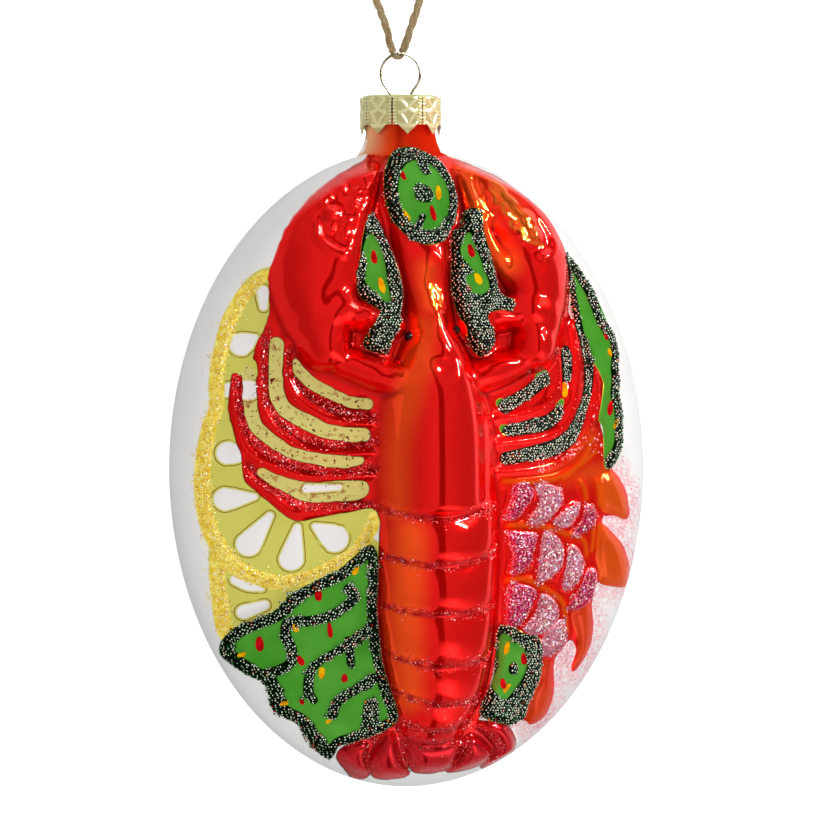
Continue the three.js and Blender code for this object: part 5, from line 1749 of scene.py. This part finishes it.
# a black bead in a shallow collar
def modelEye():
    bpy.ops.mesh.primitive_uv_sphere_add(segments=20, ring_count=12, radius=eyes["radius"] * mm)
    eye = bpy.context.object
    startEditing(eye)
    bpy.ops.mesh.bisect(plane_co=(0, 0, 0), plane_no=(0, 0, 1), clear_inner=True)
    for wider, upward in eyes["collar"]:
        drawRing(wider, upward)
    bpy.ops.mesh.edge_face_add()
    stopEditing()
    bpy.ops.object.shade_smooth()
    return eye


def setEyes():
    model = modelEye()
    pieces = [setDown(model, x, y, lean=eyes["lean"], lift=eyes["lift"]) for x, y in eyes["places"]]
    bpy.data.objects.remove(model)
    piece = joined("eyes", pieces)
    bench = Bench("blackEye")
    colour = bench.mix(bench.mottle("eye"), eyes["black"], eyes["brown"])
    rough = bench.worn(bench.mottle("eyeGloss"), *roughness["eyes"])
    return finishedIn(piece, bench.finish(colour, rough, Specular_IOR_Level=0.25))


eyePair = setEyes()
print("drops and eyes set")

# wire ring, its legs let into the lid of the gold crown cap
ring = {
    "centre": 72.3, "radius": 3.75, "wire": 0.25, "bowSpread": 2.75, "legSpread": 2.05, "legRise": 0.3,
    "legDip": 0.7, "footSpread": 3, "footEnd": 66.4, "bowPoints": 25, "step": 0.35,
}
cap = {
    "radius": 7.2, "tabs": 8, "top": 68.3, "bottom": 62.8, "point": 1.7, "pointHalf": 0.62, "sheet": 0.22,
    "slit": 0.28, "cells": (30, 44), "rounding": 0.5, "firstTurn": -5.5, "wireHole": 0.42,
    "emboss": 0.17, "tabInset": 0.12, "lidInset": 0.1, "lidSides": 64, "smoothBelow": 40,
    # how much smaller each step of the lid is, and how much higher
    "lidSteps": [(0.985, 0.2), (0.96, 0.18), (0.94, 0.12), (0.92, -0.12), (0.97, -0.06)],
}
# lines and beads are counted along a tab, and places across it run from 0 to 1
lattice = {
    "across": 0.9, "along": 2.2, "height": 0.16, "edge": (0.06, 0.2), "until": (0.62, 0.72),
    "beads": 8, "beadHeight": 0.18, "beadEdge": (-0.3, 0.8), "beadFrom": (0.74, 0.84),
}


# crossed ridges with a row of beading down each side
def tabRelief(u, v):
    across, along = u * lattice["across"], v * lattice["along"]
    leaning = np.abs((across + along) % 1 - 0.5)
    crossing = np.abs((across - along) % 1 - 0.5)
    ridges = lattice["height"] * (1 - ease(np.minimum(leaning, crossing), *lattice["edge"]))
    beading = lattice["beadHeight"] * ease(np.cos(v * 2 * math.pi * lattice["beads"]), *lattice["beadEdge"])
    beading = beading * ease(np.abs(u), *lattice["beadFrom"])
    return ridges * (1 - ease(np.abs(u), *lattice["until"])) + beading


def shapeTab(turn):
    tab, u, v = gridSheet(*cap["cells"])
    v = (v + 1) / 2
    low = cap["bottom"] - cap["point"] * np.clip(1 - np.abs(u) / cap["pointHalf"], 0, 1)
    y = low + (cap["top"] - cap["rounding"] - low) * v
    halfAngle = math.pi / cap["tabs"] - cap["slit"] / 2 / cap["radius"]
    angle = u * halfAngle + turn
    radius = cap["radius"] - cap["tabInset"] + tabRelief(u, v)
    movePlaces(tab, radius * np.sin(angle), y, axisHeight + radius * np.cos(angle))
    paintAttribute(tab, "emboss", tabRelief(u, v) / cap["emboss"])
    return tab


def shapeLid():
    bpy.ops.mesh.primitive_circle_add(
        vertices=cap["lidSides"], radius=(cap["radius"] - cap["lidInset"]) * mm, fill_type="NGON",
        location=(0, (cap["top"] - cap["rounding"]) * mm, axisHeight * mm),
        rotation=(math.radians(-90), 0, 0))
    lid = bpy.context.object
    bpy.ops.object.transform_apply()
    startEditing(lid)
    middle = (0, cap["top"] * mm, axisHeight * mm)
    for inward, upward in cap["lidSteps"]:
        bpy.ops.mesh.inset(thickness=0)
        bpy.ops.transform.resize(value=(inward, 1, inward), center_override=middle)
        bpy.ops.transform.translate(value=(0, upward * mm, 0))
    stopEditing()
    solidSheet(lid)
    for side in (-1, 1):
        pierce(lid, side * ring["legSpread"])
    return lid


def solidSheet(piece):
    wall = piece.modifiers.new("wall", "SOLIDIFY")
    wall.thickness = cap["sheet"] * mm
    wall.offset = -1
    alone(piece)
    bpy.ops.object.modifier_apply(modifier=wall.name)


def pierce(lid, x):
    bpy.ops.mesh.primitive_cylinder_add(
        vertices=20, radius=cap["wireHole"] * mm, depth=4 * mm,
        location=(x * mm, cap["top"] * mm, axisHeight * mm), rotation=(math.radians(90), 0, 0))
    combined(lid, bpy.context.object, "DIFFERENCE", "EXACT")


def makeCap():
    step = 2 * math.pi / cap["tabs"]
    tabs = [shapeTab(math.radians(cap["firstTurn"]) + i * step) for i in range(cap["tabs"])]
    tabs = joined("crownCap", tabs)
    # faces every tab outward before it gets its thickness
    startEditing(tabs)
    stopEditing()
    solidSheet(tabs)
    piece = joined("crownCap", [tabs, shapeLid()])
    bpy.ops.object.shade_smooth_by_angle(angle=math.radians(cap["smoothBelow"]))
    bench = Bench("paleGold")
    wear = bench.mottle("gilt")
    sheetTone = bench.mix(bench.worn(wear), paint["gilt"], paint["paleGilt"])
    # the raised ridges paler: a painted highlight
    colour = bench.mix(bench.inside("emboss"), sheetTone, paint["ridge"])
    rough = bench.worn(wear, *roughness["gilt"])
    gold = bench.finish(colour, rough, metallic=0.06, height=bench.mottle("beaten"), bump=0.15, depth=0.0003,
                        Specular_IOR_Level=0.1)
    return finishedIn(piece, gold)


def bendRing():
    opening = math.asin(ring["bowSpread"] / ring["radius"])
    leg = [
        (ring["footSpread"], ring["footEnd"], axisHeight),
        (ring["legSpread"], cap["top"] - ring["legDip"], axisHeight),
        (ring["legSpread"], cap["top"] + ring["legRise"], axisHeight),
    ]
    bow = []
    for angle in np.linspace(opening - math.pi / 2, 1.5 * math.pi - opening, ring["bowPoints"]):
        up = ring["centre"] + ring["radius"] * math.sin(angle)
        bow.append((ring["radius"] * math.cos(angle), up, axisHeight))
    points = evenLine(leg + bow + mirrored(leg)[::-1], ring["step"])[0]
    piece = tube("wireRing", points, ring["wire"], 3)
    bench = Bench("ringWire")
    wear = bench.mottle("wire")
    colour = bench.mix(bench.worn(wear), paint["wire"], paint["paleWire"])
    rough = bench.worn(wear, *roughness["wire"])
    return finishedIn(piece, bench.finish(colour, rough, metallic=1))


crownCap = makeCap()
wireRing = bendRing()


def juteFinish():
    bench = Bench("jute")
    coordinates = bench.add("ShaderNodeTexCoord").outputs["UV"]
    mapping = bench.add("ShaderNodeMapping")
    mapping.inputs["Scale"].default_value = (22, 5, 1)
    bench.links.new(coordinates, mapping.inputs["Vector"])
    made = bench.add("ShaderNodeTexNoise")
    made.inputs["Scale"].default_value = 6
    made.inputs["Detail"].default_value = 3
    bench.links.new(mapping.outputs["Vector"], made.inputs["Vector"])
    strand = bench.worn(made.outputs["Fac"])
    colour = bench.mix(strand, paint["jute"], paint["paleJute"])
    colour = bench.mix(bench.span(bench.mottle("jute"), 0.35, 0.75, 0, 0.4), colour, paint["driedJute"])
    rough = bench.span(strand, 0, 1, *roughness["jute"])
    return bench.finish(colour, rough, height=strand, bump=0.8, depth=0.0004, Specular_IOR_Level=0.05)


jute = juteFinish()
for piece in (leftTwine, rightTwine, bightPiece, knot):
    finishedIn(piece, jute)
print("cap, ring and twine finished")

# what rides, what is replaced and which finish each takes
standsFor = {
    "painted_glass": [
        (glass, ["glass_body"]), (herbBeads, []), (rindGlitter, []), (shrimpGlitter, []), (redGlitter, []),
        (redDrops, []), (yellowDrops, []), (eyePair, [])],
    "cap_metal": [(crownCap, ["cap"])],
    "wire": [(wireRing, ["hanger_loop"])],
    "jute": [
        (leftTwine, ["twine_left"]), (rightTwine, ["twine_right"]), (bightPiece, ["twine_bight"]),
        (knot, ["twine_knot"])],
}
for slot, entries in standsFor.items():
    for piece, replaced in entries:
        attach(piece, "root")
        if replaced:
            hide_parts(*replaced)

print("ornament finished")
